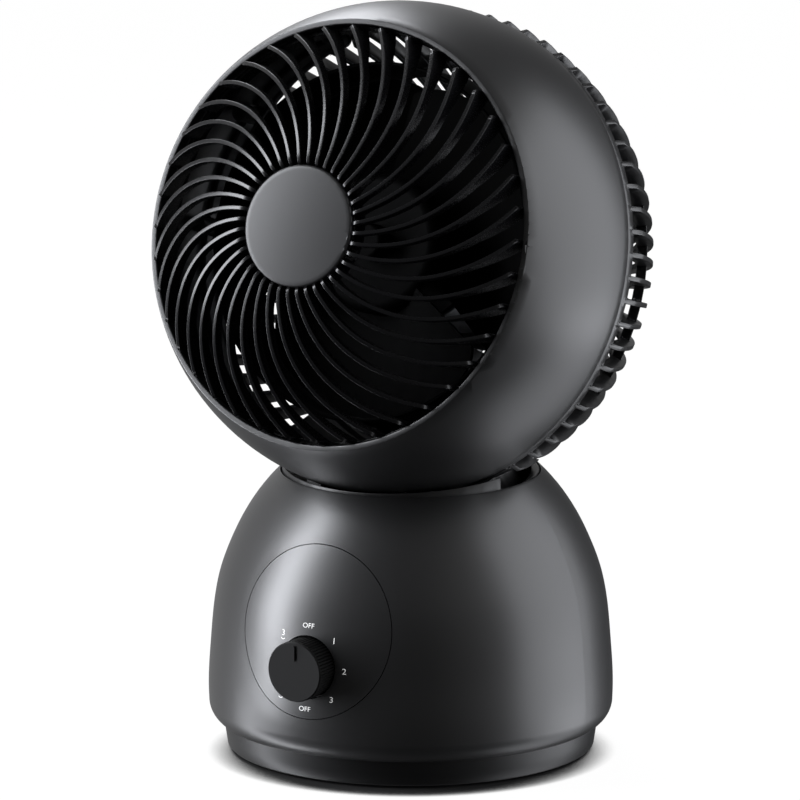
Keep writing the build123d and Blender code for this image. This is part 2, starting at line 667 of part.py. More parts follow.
# ---- cradle ----
tilt_down = 13.0  # how far the head tips down from rest
tilt_up = 18.0  # and up
slot_half = 7.5
ledge_r = 62.8  # outside of the turning ring
ledge_top = 138.0
ledge_dip = (54.5, 133.2)
ledge_under = 130.5
drum_r = (56.0, 58.5)
turntable_z = (108.0, 111.0)
wall_r = (59.4, 62.6)
wall_half = 75.0  # degrees of front wall each side of the middle
saddle_half = 41.5
saddle_y = (-62.0, 45.0)
saddle_wall = 2.5
saddle_corner = 7.0
saddle_reach = 58.9
pocket_front_y = -17.0
pocket_rear_y = 43.0
post_at = 34.0
post_r = 4.0
cradle_screw_r = 1.5

stem_at_rest = tilt_stem_angle - head_tilt - 90  # degrees behind straight down
stem_half_angle = degrees(stem_size[1] / 2 / floor_r[0]) + 0.6
slot_rear = radians(stem_at_rest + tilt_down + stem_half_angle)
slot_front = radians(stem_at_rest - tilt_up - stem_half_angle)

with BuildPart() as saddle:
    with BuildSketch(Plane.XY.offset(turntable_z[1])):
        mid_y = 0.5 * (saddle_y[0] + saddle_y[1])
        with Locations((0, mid_y)):
            outline = Rectangle(2 * saddle_half, saddle_y[1] - saddle_y[0])
        fillet(outline.vertices().group_by(Axis.Y)[-1], saddle_corner)
        Circle(saddle_reach, mode=Mode.INTERSECT)
    extrude(amount=50)
    with BuildSketch(Plane.XY.offset(turntable_z[1])):
        with Locations((0, mid_y)):
            inside = Rectangle(2 * (saddle_half - saddle_wall), saddle_y[1] - saddle_y[0] - 2 * saddle_wall)
        fillet(inside.vertices().group_by(Axis.Y)[-1], saddle_corner - saddle_wall)
        Circle(saddle_reach - saddle_wall, mode=Mode.INTERSECT)
    hollow = extrude(amount=50, mode=Mode.PRIVATE)
with BuildPart() as saddle_hollow:
    add(hollow)
    with Locations(head_middle):
        Sphere(floor_r[1], mode=Mode.SUBTRACT)

with BuildPart() as pocket:
    with BuildSketch(Plane.XY.offset(turntable_z[1])):
        with BuildLine():
            far = drum_r[0] - 0.2
            front_x = sqrt(far**2 - pocket_front_y**2)
            Line((saddle_half, pocket_front_y), (front_x, pocket_front_y))
            ThreePointArc((front_x, pocket_front_y), (53.2, 17.0), (saddle_half + 1.2, pocket_rear_y))
            Line((saddle_half + 1.2, pocket_rear_y), (saddle_half, pocket_rear_y))
            Line((saddle_half, pocket_rear_y), (saddle_half, pocket_front_y))
        make_face()
    extrude(amount=40)

with BuildPart() as cradle:
    add(spun_about(
        [(0, ledge_under), (drum_r[0], ledge_under), (drum_r[0], turntable_z[1]), (drum_r[1], turntable_z[1]),
         (drum_r[1], ledge_under), (ledge_r, ledge_under), (ledge_r, ledge_top - 0.4), (ledge_r - 0.4, ledge_top),
         (ledge_dip[0], ledge_dip[1]), (0, ledge_dip[1])],
        Plane.XZ, Axis.Z,
    ))
    add(pocket.part, mode=Mode.SUBTRACT)
    add(mirror(pocket.part, about=Plane.YZ, mode=Mode.PRIVATE), mode=Mode.SUBTRACT)
    with BuildSketch(Plane.XY.offset(ledge_dip[1] - 1)):
        Circle(wall_r[1])
        Circle(wall_r[0], mode=Mode.SUBTRACT)
        reach = 2 * ledge_r
        with BuildLine():
            edge = radians(wall_half)
            Polyline((0, 0), (reach * sin(edge), -reach * cos(edge)), (reach, -2 * reach), (-reach, -2 * reach),
                     (-reach * sin(edge), -reach * cos(edge)), close=True)
        make_face(mode=Mode.INTERSECT)
    extrude(amount=25)
    add(saddle.part)
    add(saddle_hollow.part, mode=Mode.SUBTRACT)
    with BuildSketch(Plane.XY.offset(turntable_z[1])):
        with GridLocations(2 * post_at, 2 * post_at, 2, 2):
            Circle(post_r)
    extrude(until=Until.NEXT)
    with Locations(head_middle):
        Sphere(floor_r[0], mode=Mode.SUBTRACT)
    with BuildSketch(Plane.YZ):
        with BuildLine():
            far = 150.0
            Polyline((head_y, head_z),
                     (head_y + far * sin(slot_rear), head_z - far * cos(slot_rear)),
                     (head_y + far * sin(slot_front), head_z - far * cos(slot_front)), close=True)
        make_face()
    extrude(amount=slot_half, both=True, mode=Mode.SUBTRACT)
    with BuildSketch(Plane.XY.offset(turntable_z[1])):
        with GridLocations(2 * post_at, 2 * post_at, 2, 2):
            Circle(cradle_screw_r + pilot_gap)
    extrude(amount=14, mode=Mode.SUBTRACT)
cradle.part.label = "cradle"
export_step(cradle.part, "parts/cradle.step")

# ---- tilt glides ----
glide_ball = 120.35
glide_x = 24.0
glide_wide = 8.0
glide_ends = (24.0, -20.0)  # degrees behind and ahead of straight down

with BuildPart() as tilt_glides:
    with BuildSketch(Plane.YZ):
        with BuildLine():
            ends = [radians(a) for a in glide_ends]
            Polyline((head_y, head_z),
                     (head_y + far * sin(ends[0]), head_z - far * cos(ends[0])),
                     (head_y + far * sin(ends[1]), head_z - far * cos(ends[1])), close=True)
        make_face()
    extrude(amount=glide_x + glide_wide / 2, both=True)
    with Locations((0, head_y, head_z)):
        Box(2 * glide_x - glide_wide, 300, 300, mode=Mode.SUBTRACT)
        Sphere(floor_r[0], mode=Mode.INTERSECT)
        Sphere(glide_ball, mode=Mode.SUBTRACT)
tilt_glides.part.label = "tilt_glides"
export_step(tilt_glides.part, "parts/tilt_glides.step")

# ---- turntable ----
spindle_r = (7.0, 11.5)
spindle_z = 78.0
hub_tube_r = 20.0
hub_tube_z = (86.0, 106.0)
journal_gap = 0.06
washer_thick = 2.0
washer_r = 17.0
nut_flat = 30.0
nut_z = (78.0, 83.6)
gear_z = (98.6, 108.0)
gear_module = 1.5
gear_teeth = 56
pinion_teeth = 14
pressure_angle = radians(20.0)
backlash = 0.3  # taken off each tooth at the pitch circle
root_depth = 1.3  # modules
gear_rim_r = 34.0
gear_screw_ring = 37.0
gear_screw_count = 3
gear_screw_r = 1.2
gear_screw_head = (2.3, 2.0)

with BuildPart() as turntable:
    with BuildSketch(Plane.XY.offset(turntable_z[0])):
        Circle(drum_r[1])
    extrude(amount=turntable_z[1] - turntable_z[0])
    with BuildSketch(Plane.XY.offset(spindle_z)):
        Circle(spindle_r[1])
    extrude(amount=turntable_z[0] - spindle_z)
    with BuildSketch(Plane.XY.offset(spindle_z)):
        Circle(spindle_r[0])
    extrude(amount=turntable_z[1] - spindle_z, mode=Mode.SUBTRACT)
    with BuildSketch(Plane.XY.offset(turntable_z[0])):
        with GridLocations(2 * post_at, 2 * post_at, 2, 2):
            Circle(cradle_screw_r + 0.15)
        with PolarLocations(gear_screw_ring, gear_screw_count):
            Circle(gear_screw_r + pilot_gap)
    extrude(amount=turntable_z[1] - turntable_z[0], mode=Mode.SUBTRACT)
turntable.part.label = "turntable"
export_step(turntable.part, "parts/turntable.step")

cradle_screw = drive_screw(turntable_z[1] - turntable_z[0] + 10, cradle_screw_r, 2.8, 2.0)
with BuildPart() as cradle_screws:
    with Locations((0, 0, turntable_z[0])):
        with GridLocations(2 * post_at, 2 * post_at, 2, 2):
            add(cradle_screw)
cradle_screws.part.label = "cradle_screws"
export_step(cradle_screws.part, "parts/cradle_screws.step")


def flank(teeth, radius):
    # half the angle of an involute tooth at the given radius
    pitch_r = gear_module * teeth / 2
    base_r = pitch_r * cos(pressure_angle)
    at_pitch = (pi * gear_module / 2 - backlash) / (2 * pitch_r)
    lean = acos(base_r / max(radius, base_r))
    return at_pitch + tan(pressure_angle) - pressure_angle - (tan(lean) - lean)


def spur_gear(teeth, first_tooth, low_z, high_z):
    # a spur gear blank with its teeth, the first one centred at first_tooth degrees
    pitch_r = gear_module * teeth / 2
    tip_r = pitch_r + gear_module
    root_r = pitch_r - root_depth * gear_module
    steps = [root_r - 0.5] + [root_r + (tip_r - root_r) * i / 4 for i in range(5)]
    right = [(r * cos(flank(teeth, r)), -r * sin(flank(teeth, r))) for r in steps]
    left = [(x, -y) for x, y in reversed(right)]
    with BuildSketch() as tooth:
        with BuildLine():
            Polyline(*right, *left, close=True)
        make_face()
    with BuildPart() as gear:
        with BuildSketch(Plane.XY.offset(low_z)):
            Circle(root_r)
            with PolarLocations(0, teeth, start_angle=first_tooth):
                add(tooth.sketch)
        extrude(amount=high_z - low_z)
    return gear.part


with BuildPart() as ring_gear:
    add(spur_gear(gear_teeth, 90.0, *gear_z))
    with BuildSketch(Plane.XY.offset(gear_z[0])):
        Circle(gear_rim_r)
        with PolarLocations(gear_screw_ring, gear_screw_count):
            Circle(gear_screw_r + 0.15)
    extrude(amount=gear_z[1] - gear_z[0], mode=Mode.SUBTRACT)
    with BuildSketch(Plane.XY.offset(gear_z[0])):
        with PolarLocations(gear_screw_ring, gear_screw_count):
            Circle(gear_screw_head[0] + 0.2)
    extrude(amount=gear_screw_head[1] + 0.2, mode=Mode.SUBTRACT)
ring_gear.part.label = "ring_gear"
export_step(ring_gear.part, "parts/ring_gear.step")

gear_seat = gear_z[0] + gear_screw_head[1] + 0.2
gear_screw = drive_screw(turntable_z[1] - gear_seat - 0.4, gear_screw_r, *gear_screw_head)
with BuildPart() as gear_screws:
    with Locations((0, 0, gear_seat)):
        with PolarLocations(gear_screw_ring, gear_screw_count):
            add(gear_screw)
gear_screws.part.label = "gear_screws"
export_step(gear_screws.part, "parts/gear_screws.step")

with BuildPart() as spindle_washer:
    with Locations((0, 0, nut_z[1])):
        Cylinder(washer_r, washer_thick, align=(Align.CENTER, Align.CENTER, Align.MIN))
        bore_r = spindle_r[1] + 0.1
        Cylinder(bore_r, washer_thick, align=(Align.CENTER, Align.CENTER, Align.MIN), mode=Mode.SUBTRACT)
spindle_washer.part.label = "spindle_washer"
export_step(spindle_washer.part, "parts/spindle_washer.step")

with BuildPart() as spindle_nut:
    with BuildSketch(Plane.XY.offset(nut_z[0])):
        RegularPolygon(nut_flat / 2, 6, major_radius=False)
        Circle(spindle_r[1], mode=Mode.SUBTRACT)
    extrude(amount=nut_z[1] - nut_z[0])
spindle_nut.part.label = "spindle_nut"
export_step(spindle_nut.part, "parts/spindle_nut.step")

# ---- base shell ----
# the dome's outside: radius and height
dome = [(98.6, 24.0), (98.8, 29.0), (97.7, 52.6), (92.8, 88.0), (87.7, 102.0), (83.0, 112.0), (64.3, 137.5)]
base_wall = 2.6
rim_in = 63.4
rim_top = 138.0
rim_depth = 4.6
skirt_r = 92.4
skirt_z = 14.0
skirt_wall = 0.4
skirt_bulge = (96.8, 17.9)  # a point of the round under the dome
panel_z = 74.8
panel_r = 41.1
panel_gap = 0.4
panel_wall = 4.6
panel_flange = 44.8
deck_z = (93.0, 97.0)
deck_r = 80.0
deck_screw_ring = 74.0
deck_boss_r = 4.2
base_screw_ring = 83.5
base_boss_r = 4.0
base_boss_z = (4.8, 34.0)
plate_r = 91.4
plate_lip = 2.4
plate_taper = 1.8  # how much narrower the foot of the plinth is
lip_gap = 0.5  # between the screw bosses and the plate's lip
lip_clear_z = skirt_z + 5  # above the lip the boss ribs run out to the wall
boss_web = (12.9, 2.4)
gland_z = 30.5
gland_r = 7.0


def dome_wall(inset):
    # the dome's outline moved inwards by the inset
    moved = []
    for i, (r, z) in enumerate(dome):
        before = dome[max(i - 1, 0)]
        after = dome[min(i + 1, len(dome) - 1)]
        run = (after[0] - before[0], after[1] - before[1])
        length = hypot(*run)
        moved.append((r - inset * run[1] / length, z + inset * run[0] / length))
    return moved


def dome_skin(outer_inset, inner_inset):
    # the part of the dome's wall between two insets
    outer = dome_wall(outer_inset)
    inner = dome_wall(inner_inset)
    with BuildPart() as skin:
        with BuildSketch(Plane.XZ):
            with BuildLine():
                Spline(*outer)
                Line(outer[-1], inner[-1])
                Spline(*reversed(inner))
                Line(inner[0], outer[0])
            make_face()
        revolve(axis=Axis.Z)
    return skin.part


def front_plug(radius, height, start_y, end_y):
    # a cylinder along Y, at the given height, between two distances in front
    with BuildPart() as plug:
        with BuildSketch(Plane(origin=(0, -start_y, height), x_dir=(1, 0, 0), z_dir=(0, -1, 0))):
            Circle(radius)
        extrude(amount=end_y - start_y)
    return plug.part


outer = dome_wall(0)
inner = dome_wall(base_wall)[:-1] + [(rim_in + 1.9, rim_top - rim_depth - 1.0)]
with BuildPart() as base_shell:
    with BuildSketch(Plane.XZ):
        with BuildLine():
            Spline(*outer)
            Polyline(
                outer[-1], (rim_in + 0.3, rim_top), (rim_in, rim_top - 0.3), (rim_in, rim_top - rim_depth),
                inner[-1],
            )
            Spline(*reversed(inner))
            Polyline(
                inner[0], (inner[0][0] - 1.2, skirt_z + 3.4), (skirt_r - skirt_wall, skirt_z + 2.4),
                (skirt_r - skirt_wall, skirt_z), (skirt_r, skirt_z),
            )
            ThreePointArc((skirt_r, skirt_z), skirt_bulge, outer[0])
        make_face()
    revolve(axis=Axis.Z)
    with BuildSketch(Plane.XY.offset(deck_z[1])):
        with PolarLocations(deck_screw_ring, 4, start_angle=45, rotate=False):
            Circle(deck_boss_r)
    extrude(until=Until.NEXT)
    with BuildSketch(Plane.XY.offset(base_boss_z[0])):
        with PolarLocations(base_screw_ring, 4, start_angle=45):
            Circle(base_boss_r)
            Rectangle(*boss_web, align=(Align.MIN, Align.CENTER))
        Circle(plate_r - plate_taper - plate_lip - lip_gap, mode=Mode.INTERSECT)
    extrude(amount=lip_clear_z - base_boss_z[0])
    with BuildSketch(Plane.XY.offset(lip_clear_z)):
        with PolarLocations(base_screw_ring, 4, start_angle=45):
            Circle(base_boss_r)
            Rectangle(*boss_web, align=(Align.MIN, Align.CENTER))
    extrude(amount=base_boss_z[1] - lip_clear_z)
    with BuildSketch(Plane.XY.offset(deck_z[1])):
        with PolarLocations(deck_screw_ring, 4, start_angle=45):
            Circle(cradle_screw_r + pilot_gap)
    extrude(amount=13, mode=Mode.SUBTRACT)
    with BuildSketch(Plane.XY.offset(base_boss_z[0])):
        with PolarLocations(base_screw_ring, 4, start_angle=45):
            Circle(cradle_screw_r + pilot_gap)
    extrude(amount=16, mode=Mode.SUBTRACT)
    add(front_plug(panel_r + panel_gap, panel_z, 60, 120), mode=Mode.SUBTRACT)
    with BuildSketch(Plane(origin=(0, 80, gland_z), x_dir=(1, 0, 0), z_dir=(0, 1, 0))):
        Circle(gland_r + 0.1)
    extrude(amount=30, mode=Mode.SUBTRACT)
base_shell.part.label = "base_shell"
export_step(base_shell.part, "parts/base_shell.step")

# ---- control panel ----
knob_z = 58.7
knob_r = 14.8
knob_y = (92.9, 108.4)  # distances in front of the base's axis
rim_gap = 0.1  # between the panel's rim and the back of the dome
well_r = 15.5
well_wall = 2.0
well_floor = (89.8, 92.2)
bushing_r = 4.5

with BuildPart() as panel_rim:
    add(dome_skin(base_wall + rim_gap, panel_wall))
    add(front_plug(panel_flange, panel_z, 60, 120), mode=Mode.INTERSECT)

with BuildPart() as control_panel:
    add(dome_skin(0, panel_wall))
    add(front_plug(panel_r, panel_z, 60, 120), mode=Mode.INTERSECT)
    add(panel_rim.part)
    add(front_plug(well_r + well_wall, knob_z, well_floor[0], 94.6))
    add(front_plug(well_r, knob_z, well_floor[1], 110), mode=Mode.SUBTRACT)
    add(front_plug(bushing_r + 0.15, knob_z, 80, 110), mode=Mode.SUBTRACT)
control_panel.part.label = "control_panel"
export_step(control_panel.part, "parts/control_panel.step")

# ---- rotary switch ----
switch_size = (26.0, 26.0, 17.0)
bushing_end = 95.0
switch_nut_flat = 11.0
switch_nut_h = 2.2
switch_shaft_r = 3.0
switch_shaft_y = (75.0, 104.6)
tab_size = (4.8, 0.8, 7.0)
switch_plane = Plane(origin=(0, -well_floor[0], knob_z), x_dir=(1, 0, 0), z_dir=(0, 1, 0))

with BuildPart(switch_plane) as rotary_switch:
    Box(*switch_size, align=(Align.CENTER, Align.CENTER, Align.MIN))
    fillet(rotary_switch.edges().filter_by(Axis.Y), 2.0)
    with Locations((0, 0, -(bushing_end - well_floor[0]))):
        Cylinder(bushing_r, bushing_end - well_floor[0], align=(Align.CENTER, Align.CENTER, Align.MIN))
        Cylinder(
            switch_shaft_r + 0.05, bushing_end - switch_shaft_y[0] + 1,
            align=(Align.CENTER, Align.CENTER, Align.MIN), mode=Mode.SUBTRACT,
        )
    with Locations((0, 0, switch_size[2])):
        with GridLocations(8.0, 14.0, 3, 2):
            Box(*tab_size, align=(Align.CENTER, Align.CENTER, Align.MIN))
rotary_switch.part.label = "rotary_switch"
export_step(rotary_switch.part, "parts/rotary_switch.step")

with BuildPart() as switch_nut:
    with BuildSketch(Plane(origin=(0, -well_floor[1], knob_z), x_dir=(1, 0, 0), z_dir=(0, -1, 0))):
        RegularPolygon(switch_nut_flat / 2, 6, major_radius=False)
        Circle(bushing_r + 0.02, mode=Mode.SUBTRACT)
    extrude(amount=switch_nut_h)
switch_nut.part.label = "switch_nut"
export_step(switch_nut.part, "parts/switch_nut.step")

with BuildPart() as switch_shaft:
    add(front_plug(switch_shaft_r, knob_z, *switch_shaft_y))
switch_shaft.part.label = "switch_shaft"
export_step(switch_shaft.part, "parts/switch_shaft.step")

# ---- knob ----
knob_cup_r = 11.0
knob_cup_end = 105.4
knob_hub_r = 5.6
knob_hub_start = 95.8
knob_groove_count = 60
knob_groove_wide = 1.2
knob_groove_deep = 0.75
knob_groove_end = 107.6
knob_bevel = 0.6
pointer_size = (1.4, 7.6, 0.8)
pointer_r = 9.1  # middle of the raised pointer from the knob's axis

with BuildPart() as knob:
    add(front_plug(knob_r, knob_z, *knob_y))
    chamfer(knob.faces().sort_by(Axis.Y)[0].edges(), knob_bevel)
    add(front_plug(knob_cup_r, knob_z, knob_y[0] - 1, knob_cup_end), mode=Mode.SUBTRACT)
    add(front_plug(knob_hub_r, knob_z, knob_hub_start, knob_cup_end + 0.5))
    socket_end = switch_shaft_y[1] + 0.05
    add(front_plug(switch_shaft_r + 0.02, knob_z, knob_hub_start - 1, socket_end), mode=Mode.SUBTRACT)
    with BuildSketch(Plane(origin=(0, -knob_y[0], knob_z), x_dir=(1, 0, 0), z_dir=(0, -1, 0))):
        mouth_r = knob_r + 0.1
        half = knob_groove_wide / 2
        with PolarLocations(0, knob_groove_count):
            Polygon((knob_r - knob_groove_deep, 0), (mouth_r, half), (mouth_r, -half), align=None)
    extrude(amount=knob_groove_end - knob_y[0], mode=Mode.SUBTRACT)
    with BuildSketch(Plane(origin=(0, -knob_y[1], knob_z), x_dir=(1, 0, 0), z_dir=(0, -1, 0))):
        with Locations((0, pointer_r)):
            SlotOverall(pointer_size[1], pointer_size[0], rotation=90)
    extrude(amount=pointer_size[2])
knob.part.label = "knob"
export_step(knob.part, "parts/knob.step")

# ---- bearing deck ----
pinion_y = gear_module * (gear_teeth + pinion_teeth) / 2
motor_x = 12.0
gearmotor_r = 24.5
gearmotor_z = (75.0, 93.0)
gearmotor_ear = 30.0
gearmotor_ear_r = 4.5
gearmotor_ear_thick = 2.0
pinion_shaft_r = 3.0
pinion_shaft_z = (78.0, 105.4)
pinion_z = (98.6, 104.6)

with BuildPart() as bearing_deck:
    with BuildSketch(Plane.XY.offset(deck_z[0])):
        Circle(deck_r)
    extrude(amount=deck_z[1] - deck_z[0])
    with BuildSketch(Plane.XY.offset(hub_tube_z[0])):
        Circle(hub_tube_r)
    extrude(amount=hub_tube_z[1] - hub_tube_z[0])
    with BuildSketch(Plane.XY.offset(hub_tube_z[0])):
        Circle(spindle_r[1] + journal_gap)
    extrude(amount=hub_tube_z[1] - hub_tube_z[0], mode=Mode.SUBTRACT)
    with BuildSketch(Plane.XY.offset(deck_z[0])):
        with PolarLocations(deck_screw_ring, 4, start_angle=45):
            Circle(cradle_screw_r + 0.15)
        with Locations((0, pinion_y)):
            Circle(pinion_shaft_r + 3)
        with Locations((motor_x - gearmotor_ear, pinion_y), (motor_x + gearmotor_ear, pinion_y)):
            Circle(gear_screw_r + pilot_gap)
        with Locations((0, -deck_screw_ring + 26)):
            SlotOverall(44, 14)
    extrude(amount=deck_z[1] - deck_z[0], mode=Mode.SUBTRACT)
bearing_deck.part.label = "bearing_deck"
export_step(bearing_deck.part, "parts/bearing_deck.step")

deck_screw = drive_screw(deck_z[1] - deck_z[0] + 11, cradle_screw_r, 2.8, 2.0)
with BuildPart() as deck_screws:
    with Locations((0, 0, deck_z[0])):
        with PolarLocations(deck_screw_ring, 4, start_angle=45):
            add(deck_screw)
deck_screws.part.label = "deck_screws"
export_step(deck_screws.part, "parts/deck_screws.step")

with BuildPart() as thrust_washer:
    with Locations((0, 0, hub_tube_z[1])):
        washer_h = turntable_z[0] - hub_tube_z[1]
        Cylinder(hub_tube_r, washer_h, align=(Align.CENTER, Align.CENTER, Align.MIN))
        bore_r = spindle_r[1] + 0.5
        Cylinder(bore_r, washer_h, align=(Align.CENTER, Align.CENTER, Align.MIN), mode=Mode.SUBTRACT)
thrust_washer.part.label = "thrust_washer"
export_step(thrust_washer.part, "parts/thrust_washer.step")

# ---- oscillation motor ----
with BuildPart() as oscillation_motor:
    with BuildSketch(Plane.XY.offset(gearmotor_z[0])):
        with Locations((motor_x, pinion_y)):
            Circle(gearmotor_r)
    extrude(amount=gearmotor_z[1] - gearmotor_z[0])
    fillet(oscillation_motor.faces().sort_by(Axis.Z)[0].edges(), 1.5)
    with BuildSketch(Plane.XY.offset(gearmotor_z[1])):
        with Locations((motor_x, pinion_y)):
            SlotOverall(2 * (gearmotor_ear + gearmotor_ear_r), 2 * gearmotor_ear_r)
    extrude(amount=-gearmotor_ear_thick)
    with BuildSketch(Plane.XY.offset(gearmotor_z[0] + 3)):
        with Locations((motor_x, pinion_y - gearmotor_r)):
            Rectangle(14, 8)
    extrude(amount=9)
    with BuildSketch(Plane.XY.offset(gearmotor_z[1])):
        with Locations((0, pinion_y)):
            Circle(pinion_shaft_r + 0.05)
    extrude(amount=-(gearmotor_z[1] - pinion_shaft_z[0] + 0.5), mode=Mode.SUBTRACT)
    with BuildSketch(Plane.XY.offset(gearmotor_z[1])):
        with Locations((motor_x - gearmotor_ear, pinion_y), (motor_x + gearmotor_ear, pinion_y)):
            Circle(gear_screw_r + 0.15)
    extrude(amount=-gearmotor_ear_thick, mode=Mode.SUBTRACT)
oscillation_motor.part.label = "oscillation_motor"
export_step(oscillation_motor.part, "parts/oscillation_motor.step")

ear_screw = drive_screw(gearmotor_ear_thick + 3.6, gear_screw_r, *gear_screw_head)
with BuildPart() as oscillation_motor_screws:
    ear_low = gearmotor_z[1] - gearmotor_ear_thick
    with Locations((motor_x - gearmotor_ear, pinion_y, ear_low), (motor_x + gearmotor_ear, pinion_y, ear_low)):
        add(ear_screw)
oscillation_motor_screws.part.label = "oscillation_motor_screws"
export_step(oscillation_motor_screws.part, "parts/oscillation_motor_screws.step")

with BuildPart() as pinion_shaft:
    with BuildSketch(Plane.XY.offset(pinion_shaft_z[0])):
        with Locations((0, pinion_y)):
            Circle(pinion_shaft_r)
    extrude(amount=pinion_shaft_z[1] - pinion_shaft_z[0])
pinion_shaft.part.label = "pinion_shaft"
export_step(pinion_shaft.part, "parts/pinion_shaft.step")

with BuildPart() as oscillation_pinion:
    with Locations((0, pinion_y, 0)):
        add(spur_gear(pinion_teeth, -90.0 + 180.0 / pinion_teeth, *pinion_z))
    with BuildSketch(Plane.XY.offset(pinion_z[0])):
        with Locations((0, pinion_y)):
            Circle(pinion_shaft_r)
    extrude(amount=pinion_z[1] - pinion_z[0], mode=Mode.SUBTRACT)
oscillation_pinion.part.label = "oscillation_pinion"
export_step(oscillation_pinion.part, "parts/oscillation_pinion.step")

# ---- base plate ----
plate_z = (1.2, 4.8)
plate_lip_top = 18.0
plate_foot_r = plate_r - plate_taper
foot_r = 8.0
foot_ring = 72.0
foot_top = 3.2
ballast_r = (14.0, 52.0)
ballast_thick = 8.0
ballast_screw_ring = 40.0
base_screw_head = (2.8, 1.9)
base_sink = 2.2  # depth of the pockets for the screws' heads

with BuildPart() as base_plate:
    add(spun_about(
        [(0, plate_z[0]), (plate_foot_r - 1.0, plate_z[0]), (plate_foot_r, plate_z[0] + 1.0), (plate_r, skirt_z),
         (plate_r, plate_lip_top), (plate_r - plate_lip, plate_lip_top), (plate_r - plate_lip, skirt_z),
         (plate_foot_r - plate_lip, plate_z[1]), (0, plate_z[1])],
        Plane.XZ, Axis.Z,
    ))
    with BuildSketch(Plane.XY.offset(plate_z[0])):
        with PolarLocations(base_screw_ring, 4, start_angle=45):
            Circle(base_screw_head[0] + 0.4)
    extrude(amount=base_sink, mode=Mode.SUBTRACT)
    with BuildSketch(Plane.XY.offset(plate_z[0])):
        with PolarLocations(base_screw_ring, 4, start_angle=45):
            Circle(cradle_screw_r + 0.15)
        with PolarLocations(ballast_screw_ring, 3, start_angle=90):
            Circle(cradle_screw_r + pilot_gap)
    extrude(amount=plate_z[1] - plate_z[0], mode=Mode.SUBTRACT)
    with BuildSketch(Plane.XY.offset(plate_z[0])):
        with PolarLocations(foot_ring, 4):
            Circle(foot_r)
    extrude(amount=foot_top - plate_z[0], mode=Mode.SUBTRACT)
base_plate.part.label = "base_plate"
export_step(base_plate.part, "parts/base_plate.step")

base_screw = drive_screw(13.0, cradle_screw_r, *base_screw_head)
with BuildPart() as base_screws:
    with Locations((0, 0, plate_z[0] + base_sink)):
        with PolarLocations(base_screw_ring, 4, start_angle=45):
            add(base_screw)
base_screws.part.label = "base_screws"
export_step(base_screws.part, "parts/base_screws.step")

with BuildPart() as rubber_feet:
    with PolarLocations(foot_ring, 4):
        Cylinder(foot_r, foot_top, align=(Align.CENTER, Align.CENTER, Align.MIN))
    fillet(rubber_feet.faces().filter_by(Plane.XY).group_by(Axis.Z)[0].edges(), 0.6)
rubber_feet.part.label = "rubber_feet"
export_step(rubber_feet.part, "parts/rubber_feet.step")

with BuildPart() as ballast_weight:
    with BuildSketch(Plane.XY.offset(plate_z[1])):
        Circle(ballast_r[1])
        Circle(ballast_r[0], mode=Mode.SUBTRACT)
        with PolarLocations(ballast_screw_ring, 3, start_angle=90):
            Circle(cradle_screw_r + 0.15, mode=Mode.SUBTRACT)
    extrude(amount=ballast_thick)
    chamfer(ballast_weight.faces().sort_by(Axis.Z)[-1].outer_wire().edges(), 1.0)
ballast_weight.part.label = "ballast_weight"
export_step(ballast_weight.part, "parts/ballast_weight.step")

ballast_screw = drive_screw(ballast_thick + 3.0, cradle_screw_r, 2.8, 2.0)
ballast_top = Plane(origin=(0, 0, plate_z[1] + ballast_thick), x_dir=(1, 0, 0), z_dir=(0, 0, -1))
with BuildPart(ballast_top) as ballast_screws:
    with PolarLocations(ballast_screw_ring, 3, start_angle=-90):
        add(ballast_screw)
ballast_screws.part.label = "ballast_screws"
export_step(ballast_screws.part, "parts/ballast_screws.step")

# ---- cord gland ----
cord_r = 3.3
gland_flange_r = 9.0
gland_tail = 110.0
with BuildPart() as cord_gland:
    add(spun_about(
        [(cord_r, 92.6), (gland_flange_r, 92.6), (gland_flange_r, 95.2), (gland_r, 95.2), (gland_r, 99.0),
         (gland_flange_r, 99.0), (gland_flange_r, 101.2), (6.4, 101.8), (4.9, gland_tail), (cord_r, gland_tail)],
        Plane(origin=(0, 0, gland_z), x_dir=(1, 0, 0), z_dir=(0, 0, 1)),
        Axis((0, 0, gland_z), (0, 1, 0)),
    ))
cord_gland.part.label = "cord_gland"
export_step(cord_gland.part, "parts/cord_gland.step")

# ---- terminal block and capacitor ----
block_y = 70.0
with BuildPart() as terminal_block:
    with Locations((0, block_y, plate_z[1])):
        Box(36, 14, 5, align=(Align.CENTER, Align.CENTER, Align.MIN))
        Box(32, 9, 12, align=(Align.CENTER, Align.CENTER, Align.MIN))
    with Locations((0, block_y, plate_z[1] + 12)):
        with GridLocations(8, 1, 4, 1):
            Cylinder(2.2, 3, align=(Align.CENTER, Align.CENTER, Align.MAX), mode=Mode.SUBTRACT)
    with Locations((0, block_y, plate_z[1] + 9)):
        with GridLocations(8, 1, 4, 1):
            Cylinder(1.8, 1.8, align=(Align.CENTER, Align.CENTER, Align.MIN))
terminal_block.part.label = "terminal_block"
export_step(terminal_block.part, "parts/terminal_block.step")

with BuildPart() as capacitor:
    with Locations((-68, 0, plate_z[1])):
        Box(14, 36, 22, align=(Align.CENTER, Align.CENTER, Align.MIN))
    fillet(capacitor.edges().filter_by(Axis.Z), 1.6)
capacitor.part.label = "capacitor"
export_step(capacitor.part, "parts/capacitor.step")
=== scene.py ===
import bpy
import bmesh
import json
from math import atan2, cos, pi, radians, sin, sqrt
from mathutils import Matrix, Vector
from mathutils.bvhtree import BVHTree


